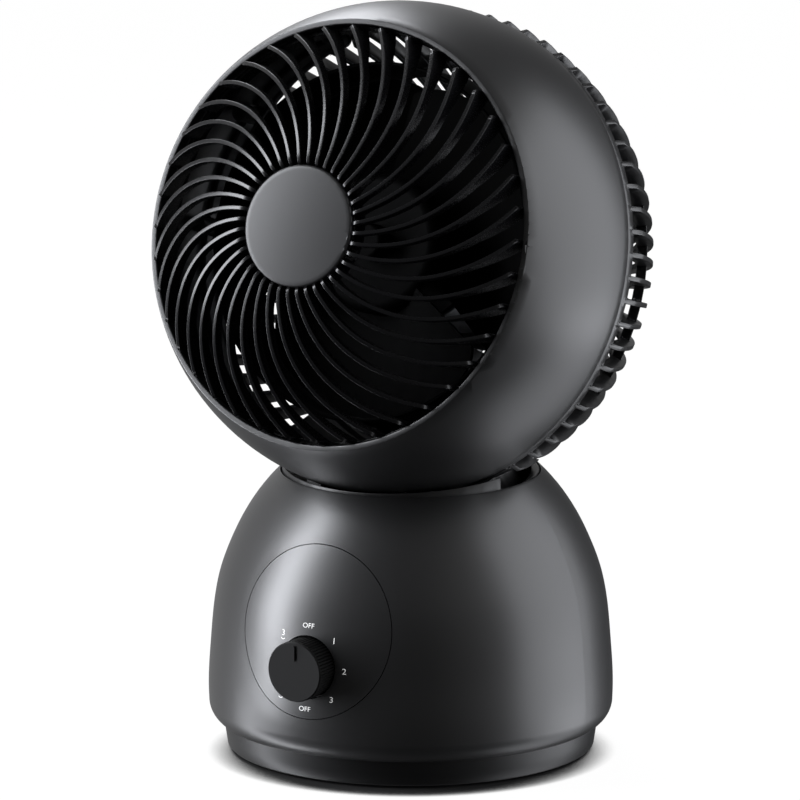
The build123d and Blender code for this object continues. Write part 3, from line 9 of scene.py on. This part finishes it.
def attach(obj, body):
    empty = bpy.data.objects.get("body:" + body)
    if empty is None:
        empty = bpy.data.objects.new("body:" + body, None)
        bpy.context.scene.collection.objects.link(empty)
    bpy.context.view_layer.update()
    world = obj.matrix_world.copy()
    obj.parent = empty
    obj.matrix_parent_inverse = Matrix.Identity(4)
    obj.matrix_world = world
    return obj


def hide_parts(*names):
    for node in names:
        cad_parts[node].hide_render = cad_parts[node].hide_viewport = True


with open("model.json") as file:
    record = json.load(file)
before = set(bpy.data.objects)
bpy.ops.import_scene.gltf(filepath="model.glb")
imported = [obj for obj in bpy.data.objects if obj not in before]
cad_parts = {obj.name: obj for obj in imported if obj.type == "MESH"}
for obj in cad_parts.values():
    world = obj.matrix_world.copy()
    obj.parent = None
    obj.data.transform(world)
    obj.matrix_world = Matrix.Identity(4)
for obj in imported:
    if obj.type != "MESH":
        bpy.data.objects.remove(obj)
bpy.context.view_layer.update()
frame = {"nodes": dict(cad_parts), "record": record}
mm = 0.001
weld = 0.0005 * mm  # points closer than this are one point
white = (1, 1, 1, 1)


def newGroup(name, inputs, outputs):
    # a shader group: its tree, the sockets that it is given and those that it gives
    kinds = {"Vector": "NodeSocketVector", "Color": "NodeSocketColor"}
    tree = bpy.data.node_groups.new(name, "ShaderNodeTree")
    for way, labels in (("INPUT", inputs), ("OUTPUT", outputs)):
        for label in labels:
            tree.interface.new_socket(name=label, in_out=way, socket_type=kinds.get(label, "NodeSocketFloat"))
    return tree, tree.nodes.new("NodeGroupInput").outputs, tree.nodes.new("NodeGroupOutput").inputs


def feed(tree, socket, value):
    # a number is set on the socket, and another socket is linked to it
    if isinstance(value, (int, float)):
        socket.default_value = value
    else:
        tree.links.new(value, socket)


def mathNode(tree, operation, *values):
    node = tree.nodes.new("ShaderNodeMath")
    node.operation = operation
    for slot, value in enumerate(values):
        feed(tree, node.inputs[slot], value)
    return node.outputs[0]


def noiseNode(tree, vector, scale, detail, rough):
    node = tree.nodes.new("ShaderNodeTexNoise")
    node.inputs["Detail"].default_value = detail
    node.inputs["Roughness"].default_value = rough
    feed(tree, node.inputs["Scale"], scale)
    tree.links.new(vector, node.inputs["Vector"])
    return node.outputs["Fac"]


def mapRange(tree, value, low, high, toLow, toHigh):
    node = tree.nodes.new("ShaderNodeMapRange")
    ends = {"Value": value, "From Min": low, "From Max": high, "To Min": toLow, "To Max": toHigh}
    for name, end in ends.items():
        feed(tree, node.inputs[name], end)
    return node.outputs["Result"]


def swayed(tree, noise, spread, middle):
    # the middle value, moved up or down by the noise over its spread
    return mathNode(tree, "MULTIPLY_ADD", mathNode(tree, "SUBTRACT", noise, 0.5), spread, middle)


# the fine spark texture of an injection mould: a height, and how rough it leaves the surface
grain = {
    "detail": 3.0, "rough": 0.6, "cells": 0.6, "pits": 0.7, "fineSpread": 0.06,
    "patches": {"scale": 14.0, "detail": 3.0, "rough": 0.5},
}
mouldGrain, given, gives = newGroup(
    "mouldGrain", ["Vector", "Grains", "Roughness", "Spread"], ["Height", "Roughness"],
)
fine = noiseNode(mouldGrain, given["Vector"], given["Grains"], grain["detail"], grain["rough"])
cells = mouldGrain.nodes.new("ShaderNodeTexVoronoi")
cells.feature = "SMOOTH_F1"
mouldGrain.links.new(given["Vector"], cells.inputs["Vector"])
mouldGrain.links.new(mathNode(mouldGrain, "MULTIPLY", given["Grains"], grain["cells"]), cells.inputs["Scale"])
pits = mathNode(mouldGrain, "MULTIPLY", cells.outputs["Distance"], grain["pits"])
mouldGrain.links.new(mathNode(mouldGrain, "ADD", fine, pits), gives["Height"])
broad = noiseNode(mouldGrain, given["Vector"], *grain["patches"].values())
patchy = swayed(mouldGrain, broad, given["Spread"], given["Roughness"])
mouldGrain.links.new(swayed(mouldGrain, fine, grain["fineSpread"], patchy), gives["Roughness"])

# slow changes of tone over a surface, and a little dust where it looks up
tone = {
    "slow": {"scale": 9.0, "detail": 4.0, "rough": 0.5},
    "specks": {"scale": 900.0, "detail": 4.0, "rough": 0.7},
    "speckRange": (0.35, 0.7, 0.3, 1.0), "dustFrom": 0.5, "dust": (0.42, 0.40, 0.37, 1),
}
toneDrift, given, gives = newGroup("toneDrift", ["Vector", "Color", "Drift", "Dust"], ["Color"])
slow = noiseNode(toneDrift, given["Vector"], *tone["slow"].values())
tinted = toneDrift.nodes.new("ShaderNodeVectorMath")
tinted.operation = "SCALE"
toneDrift.links.new(given["Color"], tinted.inputs[0])
toneDrift.links.new(swayed(toneDrift, slow, given["Drift"], 1.0), tinted.inputs["Scale"])
facing = toneDrift.nodes.new("ShaderNodeNewGeometry")
sides = toneDrift.nodes.new("ShaderNodeSeparateXYZ")
toneDrift.links.new(facing.outputs["Normal"], sides.inputs[0])
upward = mapRange(toneDrift, sides.outputs["Z"], tone["dustFrom"], 1.0, 0.0, given["Dust"])
specks = noiseNode(toneDrift, given["Vector"], *tone["specks"].values())
specks = mapRange(toneDrift, specks, *tone["speckRange"])
dusty = toneDrift.nodes.new("ShaderNodeMix")
dusty.data_type = "RGBA"
toneDrift.links.new(mathNode(toneDrift, "MULTIPLY", upward, specks), dusty.inputs["Factor"])
toneDrift.links.new(tinted.outputs[0], dusty.inputs["A"])
dusty.inputs["B"].default_value = tone["dust"]
toneDrift.links.new(dusty.outputs["Result"], gives["Color"])

# fine turned lines, level with the floor: noise drawn out along x and y
turning = {"squeeze": (0.05, 0.05, 1.0), "detail": 3.0, "rough": 0.6}
turnedLines, given, gives = newGroup(
    "turnedLines", ["Vector", "Lines", "Roughness", "Spread"], ["Height", "Roughness"],
)
squeezed = turnedLines.nodes.new("ShaderNodeMapping")
squeezed.inputs["Scale"].default_value = turning["squeeze"]
turnedLines.links.new(given["Vector"], squeezed.inputs["Vector"])
lines = noiseNode(turnedLines, squeezed.outputs[0], given["Lines"], turning["detail"], turning["rough"])
turnedLines.links.new(lines, gives["Height"])
turnedLines.links.new(swayed(turnedLines, lines, given["Spread"], given["Roughness"]), gives["Roughness"])
print("shader groups built")

# what a look has where it doesn't say otherwise; depth is in millimetres
plainLook = {
    "drift": 0.08, "dust": 0.02, "grains": 1500.0, "spread": 0.04, "bump": 0.1, "depth": 0.02,
    "metal": 0.0, "gloss": 0.5, "sheen": 0.0, "glow": 0.0,
}
looks = {
    "shell_plastic": {"colour": "#161617", "rough": 0.37, "gloss": 0.8, "bump": 0.06, "dust": 0.012},
    "cover_plastic": {"colour": "#141415", "rough": 0.34, "gloss": 0.7, "bump": 0.06},
    "cradle_plastic": {"colour": "#0f0f10", "rough": 0.42, "bump": 0.05},
    "grille_plastic": {"colour": "#08080a", "rough": 0.27, "gloss": 0.38, "bump": 0.04},
    "cap_plastic": {"colour": "#1b1b1c", "rough": 0.4, "gloss": 0.52, "bump": 0.05},
    "inner_plastic": {"colour": "#020202", "rough": 0.58, "gloss": 0.03, "bump": 0.05, "dust": 0.001},
    "knob_plastic": {"colour": "#070707", "rough": 0.5, "gloss": 0.22, "bump": 0.12},
    "plate_plastic": {"colour": "#0a0a0b", "rough": 0.4, "gloss": 0.42, "bump": 0.08},
    "nylon": {"colour": "#1b1b1b", "rough": 0.42, "gloss": 0.4, "bump": 0.08, "drift": 0.05},
    "switch_plastic": {"colour": "#3b3b3e", "rough": 0.45},
    "capacitor_case": {"colour": "#8d9096", "rough": 0.3, "bump": 0.05},
    "rubber": {"colour": "#141414", "rough": 0.75, "gloss": 0.3, "bump": 0.3, "grains": 1100.0, "sheen": 0.1},
    "screw_steel": {"colour": "#b9bbbf", "rough": 0.32, "metal": 1.0, "grains": 2600.0, "bump": 0.08},
    "shaft_steel": {"colour": "#c4c5c8", "rough": 0.22, "metal": 1.0, "grains": 3200.0, "bump": 0.05},
    "core_steel": {"colour": "#8b8c90", "rough": 0.45, "metal": 1.0, "grains": 2200.0, "bump": 0.3},
    "motor_can": {"colour": "#a9abae", "rough": 0.38, "metal": 1.0, "grains": 900.0, "bump": 0.12},
    "copper": {"colour": "#b5622f", "rough": 0.3, "metal": 1.0, "grains": 2800.0, "bump": 0.5, "depth": 0.1},
    "bronze": {"colour": "#a5803f", "rough": 0.4, "metal": 1.0, "grains": 1800.0, "bump": 0.2},
    "cast_iron": {"colour": "#242424", "rough": 0.62, "bump": 0.5, "depth": 0.08, "grains": 700.0},
    "dial_ink": {
        "colour": "#f4f4f2", "rough": 0.5, "gloss": 0.3, "bump": 0.02, "drift": 0.03, "dust": 0.0,
        # painted light: the ink glows a little, so the print reads brighter than the lamps light it
        "glow": 0.15,
    },
}


def linear(hexColour):
    # from a colour as screens show it to the values that Blender works in
    channels = [int(hexColour[i:i + 2], 16) / 255 for i in (1, 3, 5)]
    return tuple(c / 12.92 if c <= 0.04045 else ((c + 0.055) / 1.055) ** 2.4 for c in channels) + (1.0,)


def groupNode(tree, group, place, values):
    node = tree.nodes.new("ShaderNodeGroup")
    node.node_tree = group
    for name, value in values.items():
        node.inputs[name].default_value = value
    tree.links.new(place, node.inputs["Vector"])
    return node.outputs


def finish(name, look):
    material = bpy.data.materials.new(name)
    material.use_nodes = True
    tree = material.node_tree
    shader = tree.nodes["Principled BSDF"]
    place = tree.nodes.new("ShaderNodeTexCoord").outputs["Object"]
    colour = groupNode(tree, toneDrift, place, {
        "Color": linear(look["colour"]), "Drift": look["drift"], "Dust": look["dust"],
    })
    tree.links.new(colour["Color"], shader.inputs["Base Color"])
    skin = groupNode(tree, turnedLines if look["metal"] else mouldGrain, place, {
        "Lines" if look["metal"] else "Grains": look["grains"],
        "Roughness": look["rough"], "Spread": look["spread"],
    })
    tree.links.new(skin["Roughness"], shader.inputs["Roughness"])
    bump = tree.nodes.new("ShaderNodeBump")
    bump.inputs["Strength"].default_value = look["bump"]
    bump.inputs["Distance"].default_value = look["depth"] * mm
    tree.links.new(skin["Height"], bump.inputs["Height"])
    tree.links.new(bump.outputs["Normal"], shader.inputs["Normal"])
    shader.inputs["Metallic"].default_value = look["metal"]
    shader.inputs["Specular IOR Level"].default_value = look["gloss"]
    shader.inputs["Sheen Weight"].default_value = look["sheen"]
    shader.inputs["Emission Color"].default_value = white
    # a look's glow is painted light, not a lamp; only the dial ink has one
    shader.inputs["Emission Strength"].default_value = look["glow"]
    return material


finishes = {name: finish(name, plainLook | look) for name, look in looks.items()}
for part in frame["record"]["subparts"]:
    node = frame["nodes"][part["node"]]
    node.data.materials.clear()
    node.data.materials.append(finishes[part["material_slot"]])
print("finishes on", len(frame["nodes"]), "nodes")

bodyOf = {node: body for body, nodes in frame["record"]["behaviour"]["bodies"].items() for node in nodes}
slotOf = {part["node"]: part["material_slot"] for part in frame["record"]["subparts"]}

# the head's own frame: x to the right, y up the face, z out of the front
head = {"middle": (0.0, -10.5, 249.0), "tilt": 16.3}
lean = radians(head["tilt"])
facePlane = Matrix.Translation(Vector(head["middle"]) * mm) @ Matrix((
    (1, 0, 0), (0, sin(lean), -cos(lean)), (0, cos(lean), sin(lean)),
)).to_4x4()


def newPiece(name, bm, material, turnedBy=None):
    # close up the mesh, put it in its place and hand back the object
    bmesh.ops.remove_doubles(bm, verts=bm.verts, dist=weld)
    bmesh.ops.recalc_face_normals(bm, faces=bm.faces)
    if turnedBy:
        bmesh.ops.transform(bm, matrix=turnedBy, verts=bm.verts)
    for face in bm.faces:
        face.smooth = True
    mesh = bpy.data.meshes.new(name)
    bm.to_mesh(mesh)
    bm.free()
    mesh.materials.append(material)
    piece = bpy.data.objects.new(name, mesh)
    bpy.context.scene.collection.objects.link(piece)
    return piece


def standIn(piece, *nodes):
    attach(piece, bodyOf[nodes[0]])
    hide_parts(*nodes)


def lathe(bm, outline, steps):
    # spin a closed outline of (radius, height) in millimetres about z
    rim = [bm.verts.new((r * mm, 0, z * mm)) for r, z in outline]
    edges = [bm.edges.new((rim[i - 1], rim[i])) for i in range(len(rim))]
    bmesh.ops.spin(bm, geom=rim + edges, cent=(0, 0, 0), axis=(0, 0, 1),
                   angle=2 * pi, steps=steps, use_merge=True)


def roundedOutline(corners, radius, steps):
    # a closed outline whose corners are rounded off, each from radius before it to radius after it
    outline = []
    for i, corner in enumerate(corners):
        here = Vector(corner)
        before = (Vector(corners[i - 1]) - here).normalized()
        after = (Vector(corners[(i + 1) % len(corners)]) - here).normalized()
        for k in range(steps + 1):
            t = k / steps
            outline.append(tuple(here + before * radius * (1 - t) ** 2 + after * radius * t ** 2))
    return outline


# spiral grille: forty ribs between the hub's barrel and the outer ring, in millimetres and degrees
grille = {
    "ribs": 40, "thick": 1.9, "edge": 0.34, "footEdge": 0.3, "from": 29.42, "to": 100.3,
    "stations": 46, "arcSteps": 40, "crownPoints": 4, "lookAhead": 0.1,
    "swirl": [(22.0, -2.0), (38.0, 1.2), (52.0, 5.9), (78.0, 17.8), (106.0, 35.4)],
    "dome": (125.0, 93.5, 7.52), "dip": 1.5, "dipOver": 4.5,
    "depth": [(27.0, 10.5), (38.0, 5.4), (60.0, 5.0), (84.0, 6.8), (100.3, 15.5)],
    "soft": 0.35,
    "barrel": {
        "outline": [(26.6, 84.0), (29.6, 84.0), (29.6, 94.5), (26.6, 94.5)],
        "cornerSteps": 3, "steps": 160,
    },
    "ring": {
        "outline": [(99.2, 44.0), (103.6, 44.0), (103.6, 47.2), (101.3, 47.2), (101.3, 52.9), (99.2, 52.9)],
        "cornerSteps": 2, "steps": 240,
    },
}


def arcOnwards(start, heading, end, steps):
    # points of the arc that leaves start along heading and ends at end, and its last heading
    across = Vector((-heading.y, heading.x))
    chord = end - start
    centre = start + across * (chord.length_squared / (2 * across.dot(chord)))
    half = atan2(heading.x * chord.y - heading.y * chord.x, heading.dot(chord))
    turned = [Matrix.Rotation(2 * half * k / steps, 2) for k in range(1, steps + 1)]
    return [centre + turn @ (start - centre) for turn in turned], turned[-1] @ heading


def ribPath(spec):
    # (radius, angle) pairs along the swirl of one rib
    corners = [Vector((r * cos(radians(a)), r * sin(radians(a)))) for r, a in spec["swirl"]]
    first = corners[1] - corners[0]
    second = corners[2] - corners[1]
    bend = atan2(first.x * second.y - first.y * second.x, first.dot(second))
    heading = Matrix.Rotation(-bend, 2) @ (corners[2] - corners[0]).normalized()
    points = [corners[0]]
    for end in corners[2:]:
        more, heading = arcOnwards(points[-1], heading, end, spec["arcSteps"])
        points += more
    return [(p.length, atan2(p.y, p.x)) for p in points]


def between(pairs, x):
    # straight-line interpolation in a list of (x, value) pairs
    for (x0, v0), (x1, v1) in zip(pairs, pairs[1:]):
        if x <= x1:
            break
    return v0 + (v1 - v0) * (x - x0) / (x1 - x0)


def domeHeight(spec, r):
    # the ribs' crest: an oval dome that dips a little where it meets the hub cap
    across, rise, lift = spec["dome"]
    near = max(0.0, 1 - (r - spec["from"]) / spec["dipOver"])
    return lift + rise * sqrt(1 - (r / across) ** 2) - spec["dip"] * near ** 2


def ribSection(spec):
    # the outline across a rib: (sideways, height, whether the height counts from the rib's foot)
    half = spec["thick"] / 2
    edge = spec["edge"]
    low = spec["footEdge"]
    foot = [(-half, low, True), (-half + low, 0.0, True), (half - low, 0.0, True), (half, low, True)]
    turns = [radians(90 * k / (spec["crownPoints"] - 1)) for k in range(spec["crownPoints"])]
    crown = [(half - edge + edge * cos(turn), -edge + edge * sin(turn), False) for turn in turns]
    return foot + crown + [(-u, w, fromFoot) for u, w, fromFoot in reversed(crown)]


def addRib(bm, spec):
    # a grid wrapped into a rounded bar that follows the swirl, the dome and the ring
    path = ribPath(spec)
    section = ribSection(spec)
    around = len(section)
    made = bmesh.ops.create_grid(bm, x_segments=spec["stations"], y_segments=around, size=1.0)["verts"]
    for vert in made:
        along = (vert.co.x + 1) / 2
        r = spec["from"] + (spec["to"] - spec["from"]) * along
        u, w, fromFoot = section[round((vert.co.y + 1) / 2 * around) % around]
        crest = domeHeight(spec, r)
        w += crest - between(spec["depth"], r) if fromFoot else crest
        angle = between(path, r)
        x = r * cos(angle)
        y = r * sin(angle)
        onward = r + spec["lookAhead"]
        ahead = between(path, onward)
        lead = Vector((onward * cos(ahead) - x, onward * sin(ahead) - y)).normalized()
        vert.co = Vector((x - lead.y * u, y + lead.x * u, w)) * mm
    bmesh.ops.remove_doubles(bm, verts=made, dist=weld)
    bmesh.ops.holes_fill(bm, edges=[side for side in bm.edges if side.is_boundary], sides=0)


bm = bmesh.new()
addRib(bm, grille)
copies = grille["ribs"] - 1
bmesh.ops.spin(bm, geom=bm.verts[:] + bm.edges[:] + bm.faces[:], cent=(0, 0, 0), axis=(0, 0, 1),
               angle=2 * pi / grille["ribs"] * copies, steps=copies, use_duplicate=True)
for turned in (grille["barrel"], grille["ring"]):
    lathe(bm, roundedOutline(turned["outline"], grille["soft"], turned["cornerSteps"]), turned["steps"])
frontGrille = newPiece("frontGrille", bm, finishes["grille_plastic"], facePlane)
flatten = frontGrille.modifiers.new("flatSides", "WEIGHTED_NORMAL")
flatten.keep_sharp = True
standIn(frontGrille, "front_grille")
print("grille built,", len(frontGrille.data.polygons), "faces")

# moulded edges, in millimetres: a merged copy of a CAD node with its corners rounded
moulded = {
    "widths": {
        "front_shell": 0.35, "cradle": 0.35, "rear_cover": 0.4, "rear_cap": 0.35, "base_plate": 0.4,
        "hub_cap": 0.35,
    },
    "merge": 0.002, "segments": 2, "sharpFrom": 38,
}


def softened(node, width):
    bm = bmesh.new()
    bm.from_mesh(frame["nodes"][node].data)
    merge = moulded["merge"] * mm
    bmesh.ops.remove_doubles(bm, verts=bm.verts, dist=merge)
    bmesh.ops.dissolve_degenerate(bm, edges=bm.edges, dist=merge)
    words = node.split("_")
    name = words[0] + "".join(word.title() for word in words[1:]) + "Soft"
    piece = newPiece(name, bm, finishes[slotOf[node]])
    rounding = piece.modifiers.new("mouldedEdges", "BEVEL")
    rounding.width = width * mm
    rounding.segments = moulded["segments"]
    rounding.limit_method = "ANGLE"
    rounding.angle_limit = radians(moulded["sharpFrom"])
    rounding.use_clamp_overlap = False
    rounding.harden_normals = True
    standIn(piece, node)


for node, width in moulded["widths"].items():
    softened(node, width)
print("moulded edges on", len(moulded["widths"]), "pieces")

# printed dial: words on the curved panel, each with its clock angle round the knob and its height
dial = {
    "middle": (0.0, 58.7), "ring": 20.2, "closer": {270: 1.4}, "swingsPast": 180, "raised": 0.8,
    "stretch": 1.12, "curveSteps": 4, "proud": 0.09, "ink": 0.06, "rayFrom": -200.0,
    "labels": [
        ("OFF", 0, 2.35), ("1", 45, 2.8), ("2", 90, 2.8), ("3", 135, 2.8),
        ("OFF", 180, 2.35), ("1", 225, 2.8), ("2", 270, 2.8), ("3", 315, 2.8),
    ],
    "swing": {"radius": 1.35, "wide": 0.34, "below": 2.35, "middle": 270, "reach": 62, "steps": 16},
}
panelMesh = frame["nodes"]["control_panel"].data
panelTree = BVHTree.FromPolygons([v.co for v in panelMesh.vertices], [p.vertices for p in panelMesh.polygons])


def layOnPanel(bm, verts, u, v):
    # move flat letters, drawn in x and y with their thickness in z, onto the panel's face
    for vert in verts:
        x = (dial["middle"][0] + u + vert.co.x) * mm
        z = (dial["middle"][1] + v + vert.co.y) * mm
        hit = panelTree.ray_cast(Vector((x, dial["rayFrom"] * mm, z)), Vector((0, 1, 0)))[0]
        vert.co = Vector((x, hit.y - (dial["proud"] + vert.co.z) * mm, z))


def addWord(bm, word, high, u, v):
    curve = bpy.data.curves.new("word", "FONT")
    curve.body = word
    curve.align_x = "CENTER"
    curve.align_y = "CENTER"
    curve.extrude = dial["ink"] / 2
    curve.resolution_u = dial["curveSteps"]
    text = bpy.data.objects.new("word", curve)
    bpy.context.scene.collection.objects.link(text)
    bpy.context.view_layer.update()
    mesh = bpy.data.meshes.new_from_object(text)
    heights = [v.co.y for v in mesh.vertices]
    tall = max(heights) - min(heights)
    middle = (max(heights) + min(heights)) / 2
    known = set(bm.verts)
    bm.from_mesh(mesh)
    fresh = [vert for vert in bm.verts if vert not in known]
    for vert in fresh:
        wide = vert.co.x * dial["stretch"] * high / tall
        vert.co = Vector((wide, (vert.co.y - middle) * high / tall, vert.co.z))
    layOnPanel(bm, fresh, u, v)
    bpy.data.objects.remove(text)
    bpy.data.curves.remove(curve)
    bpy.data.meshes.remove(mesh)


def addSwingMark(bm, spec, u, v):
    # the small arc under a number that means the head swings
    made = bmesh.ops.create_grid(bm, x_segments=spec["steps"], y_segments=1, size=1.0)["verts"]
    for vert in made:
        angle = radians(spec["middle"] + spec["reach"] * vert.co.x)
        r = spec["radius"] + spec["wide"] / 2 * vert.co.y
        vert.co = Vector((r * cos(angle), r * sin(angle) + spec["radius"] - spec["below"], -dial["ink"] / 2))
    faces = [face for face in bm.faces if all(vert in made for vert in face.verts)]
    grown = bmesh.ops.extrude_face_region(bm, geom=faces)["geom"]
    raised = [item for item in grown if isinstance(item, bmesh.types.BMVert)]
    bmesh.ops.translate(bm, verts=raised, vec=(0, 0, dial["ink"]))
    layOnPanel(bm, made + raised, u, v)


bm = bmesh.new()
for word, clock, high in dial["labels"]:
    ring = dial["ring"] - dial["closer"].get(clock, 0.0)
    u = ring * sin(radians(clock))
    v = ring * cos(radians(clock))
    swings = clock > dial["swingsPast"]
    addWord(bm, word, high, u, v + (dial["raised"] if swings else 0.0))
    if swings:
        addSwingMark(bm, dial["swing"], u, v)
dialMarks = newPiece("dialMarks", bm, finishes["dial_ink"])
for face in dialMarks.data.polygons:
    face.use_smooth = False
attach(dialMarks, "base")
print("dial printed")

# in degrees: the camera's turn counts from the fan's front, and every other turn from the camera
studio = {
    "camera": {
        "turn": 31.23, "rise": 12.38, "away": 5.0, "aim": (0.0, 0.0, 0.180),
        "right": -0.005286, "up": -0.007805, "lens": 463.0, "sensor": 36.0, "clipEnd": 60.0,
    },
    "lamps": {
        "leftStrip": {"turn": -84.0, "rise": 14.0, "away": 1.35, "size": (0.4, 1.6), "power": 38.0},
        "rightBox": {"turn": 92.0, "rise": 9.0, "away": 1.5, "size": (1.75, 2.3), "power": 30.0},
        "backPanel": {"turn": -160.0, "rise": 42.0, "away": 1.4, "size": (0.7, 0.8), "power": 12.0},
        "leftFoot": {"turn": -104.0, "rise": -40.0, "away": 1.3, "size": (0.26, 1.1), "power": 7.0},
        "rightFoot": {"turn": 102.0, "rise": -40.0, "away": 1.5, "size": (1.0, 1.3), "power": 6.5},
    },
    "lampColour": (0.93, 0.95, 1.0), "lampsAim": (0, 0, 0.19),
    "fill": 0.42, "lowest": 0.045,
    "rearPaper": {"turn": -148.0, "rise": 10.0, "from": 0.6, "to": 0.95, "level": 0.42},
    "rightGlow": {"turn": 64.0, "rise": 22.0, "from": 0.55, "to": 1.0, "level": 0.26},
    "overhead": {"turn": 0.0, "rise": 90.0, "from": -0.3, "to": 0.7, "level": 0.075},
    "floor": {
        "half": 6.0, "colour": (0.02, 0.02, 0.02, 1), "rough": 0.9, "gloss": 0.1,
        "glow": 0.98, "mirrored": 0.1,
    },
    # painted shadow on the floor: how far, and how darkly, the floor's glow is dimmed near the base
    "paintedShadow": {"reach": 0.018, "lean": 6.0, "dark": 0.62, "clear": 0.88, "samples": 32},
}


def aroundCamera(turn, rise):
    # the direction that lies turn degrees right of the camera and rise degrees up
    heading = radians(studio["camera"]["turn"] + turn)
    level = cos(radians(rise))
    return Vector((sin(heading) * level, -cos(heading) * level, sin(radians(rise))))


def addCamera(spec):
    backward = aroundCamera(0.0, spec["rise"])
    right = Vector((0, 0, 1)).cross(backward).normalized()
    up = backward.cross(right)
    data = bpy.data.cameras.new("photoCamera")
    data.lens = spec["lens"]
    data.sensor_width = spec["sensor"]
    data.clip_end = spec["clipEnd"]
    camera = bpy.data.objects.new("photoCamera", data)
    turned = Matrix((right, up, backward)).transposed().to_4x4()
    spot = Vector(spec["aim"]) + right * spec["right"] + up * spec["up"] + backward * spec["away"]
    camera.matrix_world = Matrix.Translation(spot) @ turned
    bpy.context.scene.collection.objects.link(camera)
    bpy.context.scene.camera = camera


def addLamp(name, spec):
    data = bpy.data.lights.new(name, "AREA")
    data.shape = "RECTANGLE"
    data.size, data.size_y = spec["size"]
    data.energy = spec["power"]
    data.color = studio["lampColour"]
    lamp = bpy.data.objects.new(name, data)
    outward = aroundCamera(spec["turn"], spec["rise"])
    lamp.location = Vector(studio["lampsAim"]) + outward * spec["away"]
    lamp.rotation_euler = outward.to_track_quat("Z", "Y").to_euler()
    bpy.context.scene.collection.objects.link(lamp)


addCamera(studio["camera"])
for name, spec in studio["lamps"].items():
    addLamp(name, spec)


def mirrorRays(tree, path):
    return mathNode(tree, "ADD", path.outputs["Is Glossy Ray"], path.outputs["Is Transmission Ray"])


def glowFrom(tree, view, spec):
    # how strongly a mirror sees the studio's paper round one direction
    along = tree.nodes.new("ShaderNodeVectorMath")
    along.operation = "DOT_PRODUCT"
    tree.links.new(view.outputs["Generated"], along.inputs[0])
    along.inputs[1].default_value = aroundCamera(spec["turn"], spec["rise"])
    return mapRange(tree, along.outputs["Value"], spec["from"], spec["to"], 0.0, spec["level"])


# the white room: full white for the camera, a fill for matt surfaces, patches of paper for mirrors
world = bpy.data.worlds.new("whiteStudio")
bpy.context.scene.world = world
world.use_nodes = True
tree = world.node_tree
backdrop = tree.nodes["Background"]
path = tree.nodes.new("ShaderNodeLightPath")
view = tree.nodes.new("ShaderNodeTexCoord")
paperSeen = glowFrom(tree, view, studio["rearPaper"])
paperSeen = mathNode(tree, "ADD", paperSeen, glowFrom(tree, view, studio["rightGlow"]))
paperSeen = mathNode(tree, "ADD", paperSeen, glowFrom(tree, view, studio["overhead"]))
paperSeen = mathNode(tree, "ADD", paperSeen, studio["lowest"])
seen = mathNode(tree, "MULTIPLY_ADD", mirrorRays(tree, path), paperSeen, path.outputs["Is Camera Ray"])
seen = mathNode(tree, "MULTIPLY_ADD", path.outputs["Is Diffuse Ray"], studio["fill"], seen)
tree.links.new(seen, backdrop.inputs["Strength"])
backdrop.inputs["Color"].default_value = white

# the white floor glows for the camera, but for a painted contact shadow at the near side of the base, where
# that glow is darkened
paper = bpy.data.materials.new("paper")
paper.use_nodes = True
tree = paper.node_tree
shader = tree.nodes["Principled BSDF"]
shader.inputs["Base Color"].default_value = studio["floor"]["colour"]
shader.inputs["Roughness"].default_value = studio["floor"]["rough"]
shader.inputs["Specular IOR Level"].default_value = studio["floor"]["gloss"]
shader.inputs["Emission Color"].default_value = white
# painted shadow: occlusion towards the base darkens the floor's glow, standing in for the base's shadow
paintedShadow = tree.nodes.new("ShaderNodeAmbientOcclusion")
paintedShadow.inputs["Distance"].default_value = studio["paintedShadow"]["reach"]
paintedShadow.samples = studio["paintedShadow"]["samples"]
towardsBase = tree.nodes.new("ShaderNodeCombineXYZ")
for axis, value in zip("XYZ", -aroundCamera(0.0, -studio["paintedShadow"]["lean"])):
    towardsBase.inputs[axis].default_value = value
tree.links.new(towardsBase.outputs["Vector"], paintedShadow.inputs["Normal"])
clearOfPaintedShadow = mapRange(tree, paintedShadow.outputs["AO"], studio["paintedShadow"]["dark"], studio["paintedShadow"]["clear"], 0.0, 1.0)
path = tree.nodes.new("ShaderNodeLightPath")
mirrored = mathNode(tree, "MULTIPLY", mirrorRays(tree, path), studio["floor"]["mirrored"])
shown = mathNode(tree, "ADD", mirrored, path.outputs["Is Camera Ray"])
glowWithPaintedShadow = mathNode(tree, "MULTIPLY", mathNode(tree, "MULTIPLY", shown, clearOfPaintedShadow), studio["floor"]["glow"])
tree.links.new(glowWithPaintedShadow, shader.inputs["Emission Strength"])

floorMesh = bpy.data.meshes.new("studioFloor")
bm = bmesh.new()
bmesh.ops.create_grid(bm, x_segments=1, y_segments=1, size=studio["floor"]["half"])
bm.to_mesh(floorMesh)
bm.free()
floorMesh.materials.append(paper)
floor = bpy.data.objects.new("studioFloor", floorMesh)
bpy.context.scene.collection.objects.link(floor)
floor.visible_glossy = False  # the photograph's black plastic mirrors the lamps down to its foot
floor.visible_shadow = False  # two of the lamps stand lower than the floor
bpy.context.scene.view_settings.view_transform = "Standard"
print("studio ready")
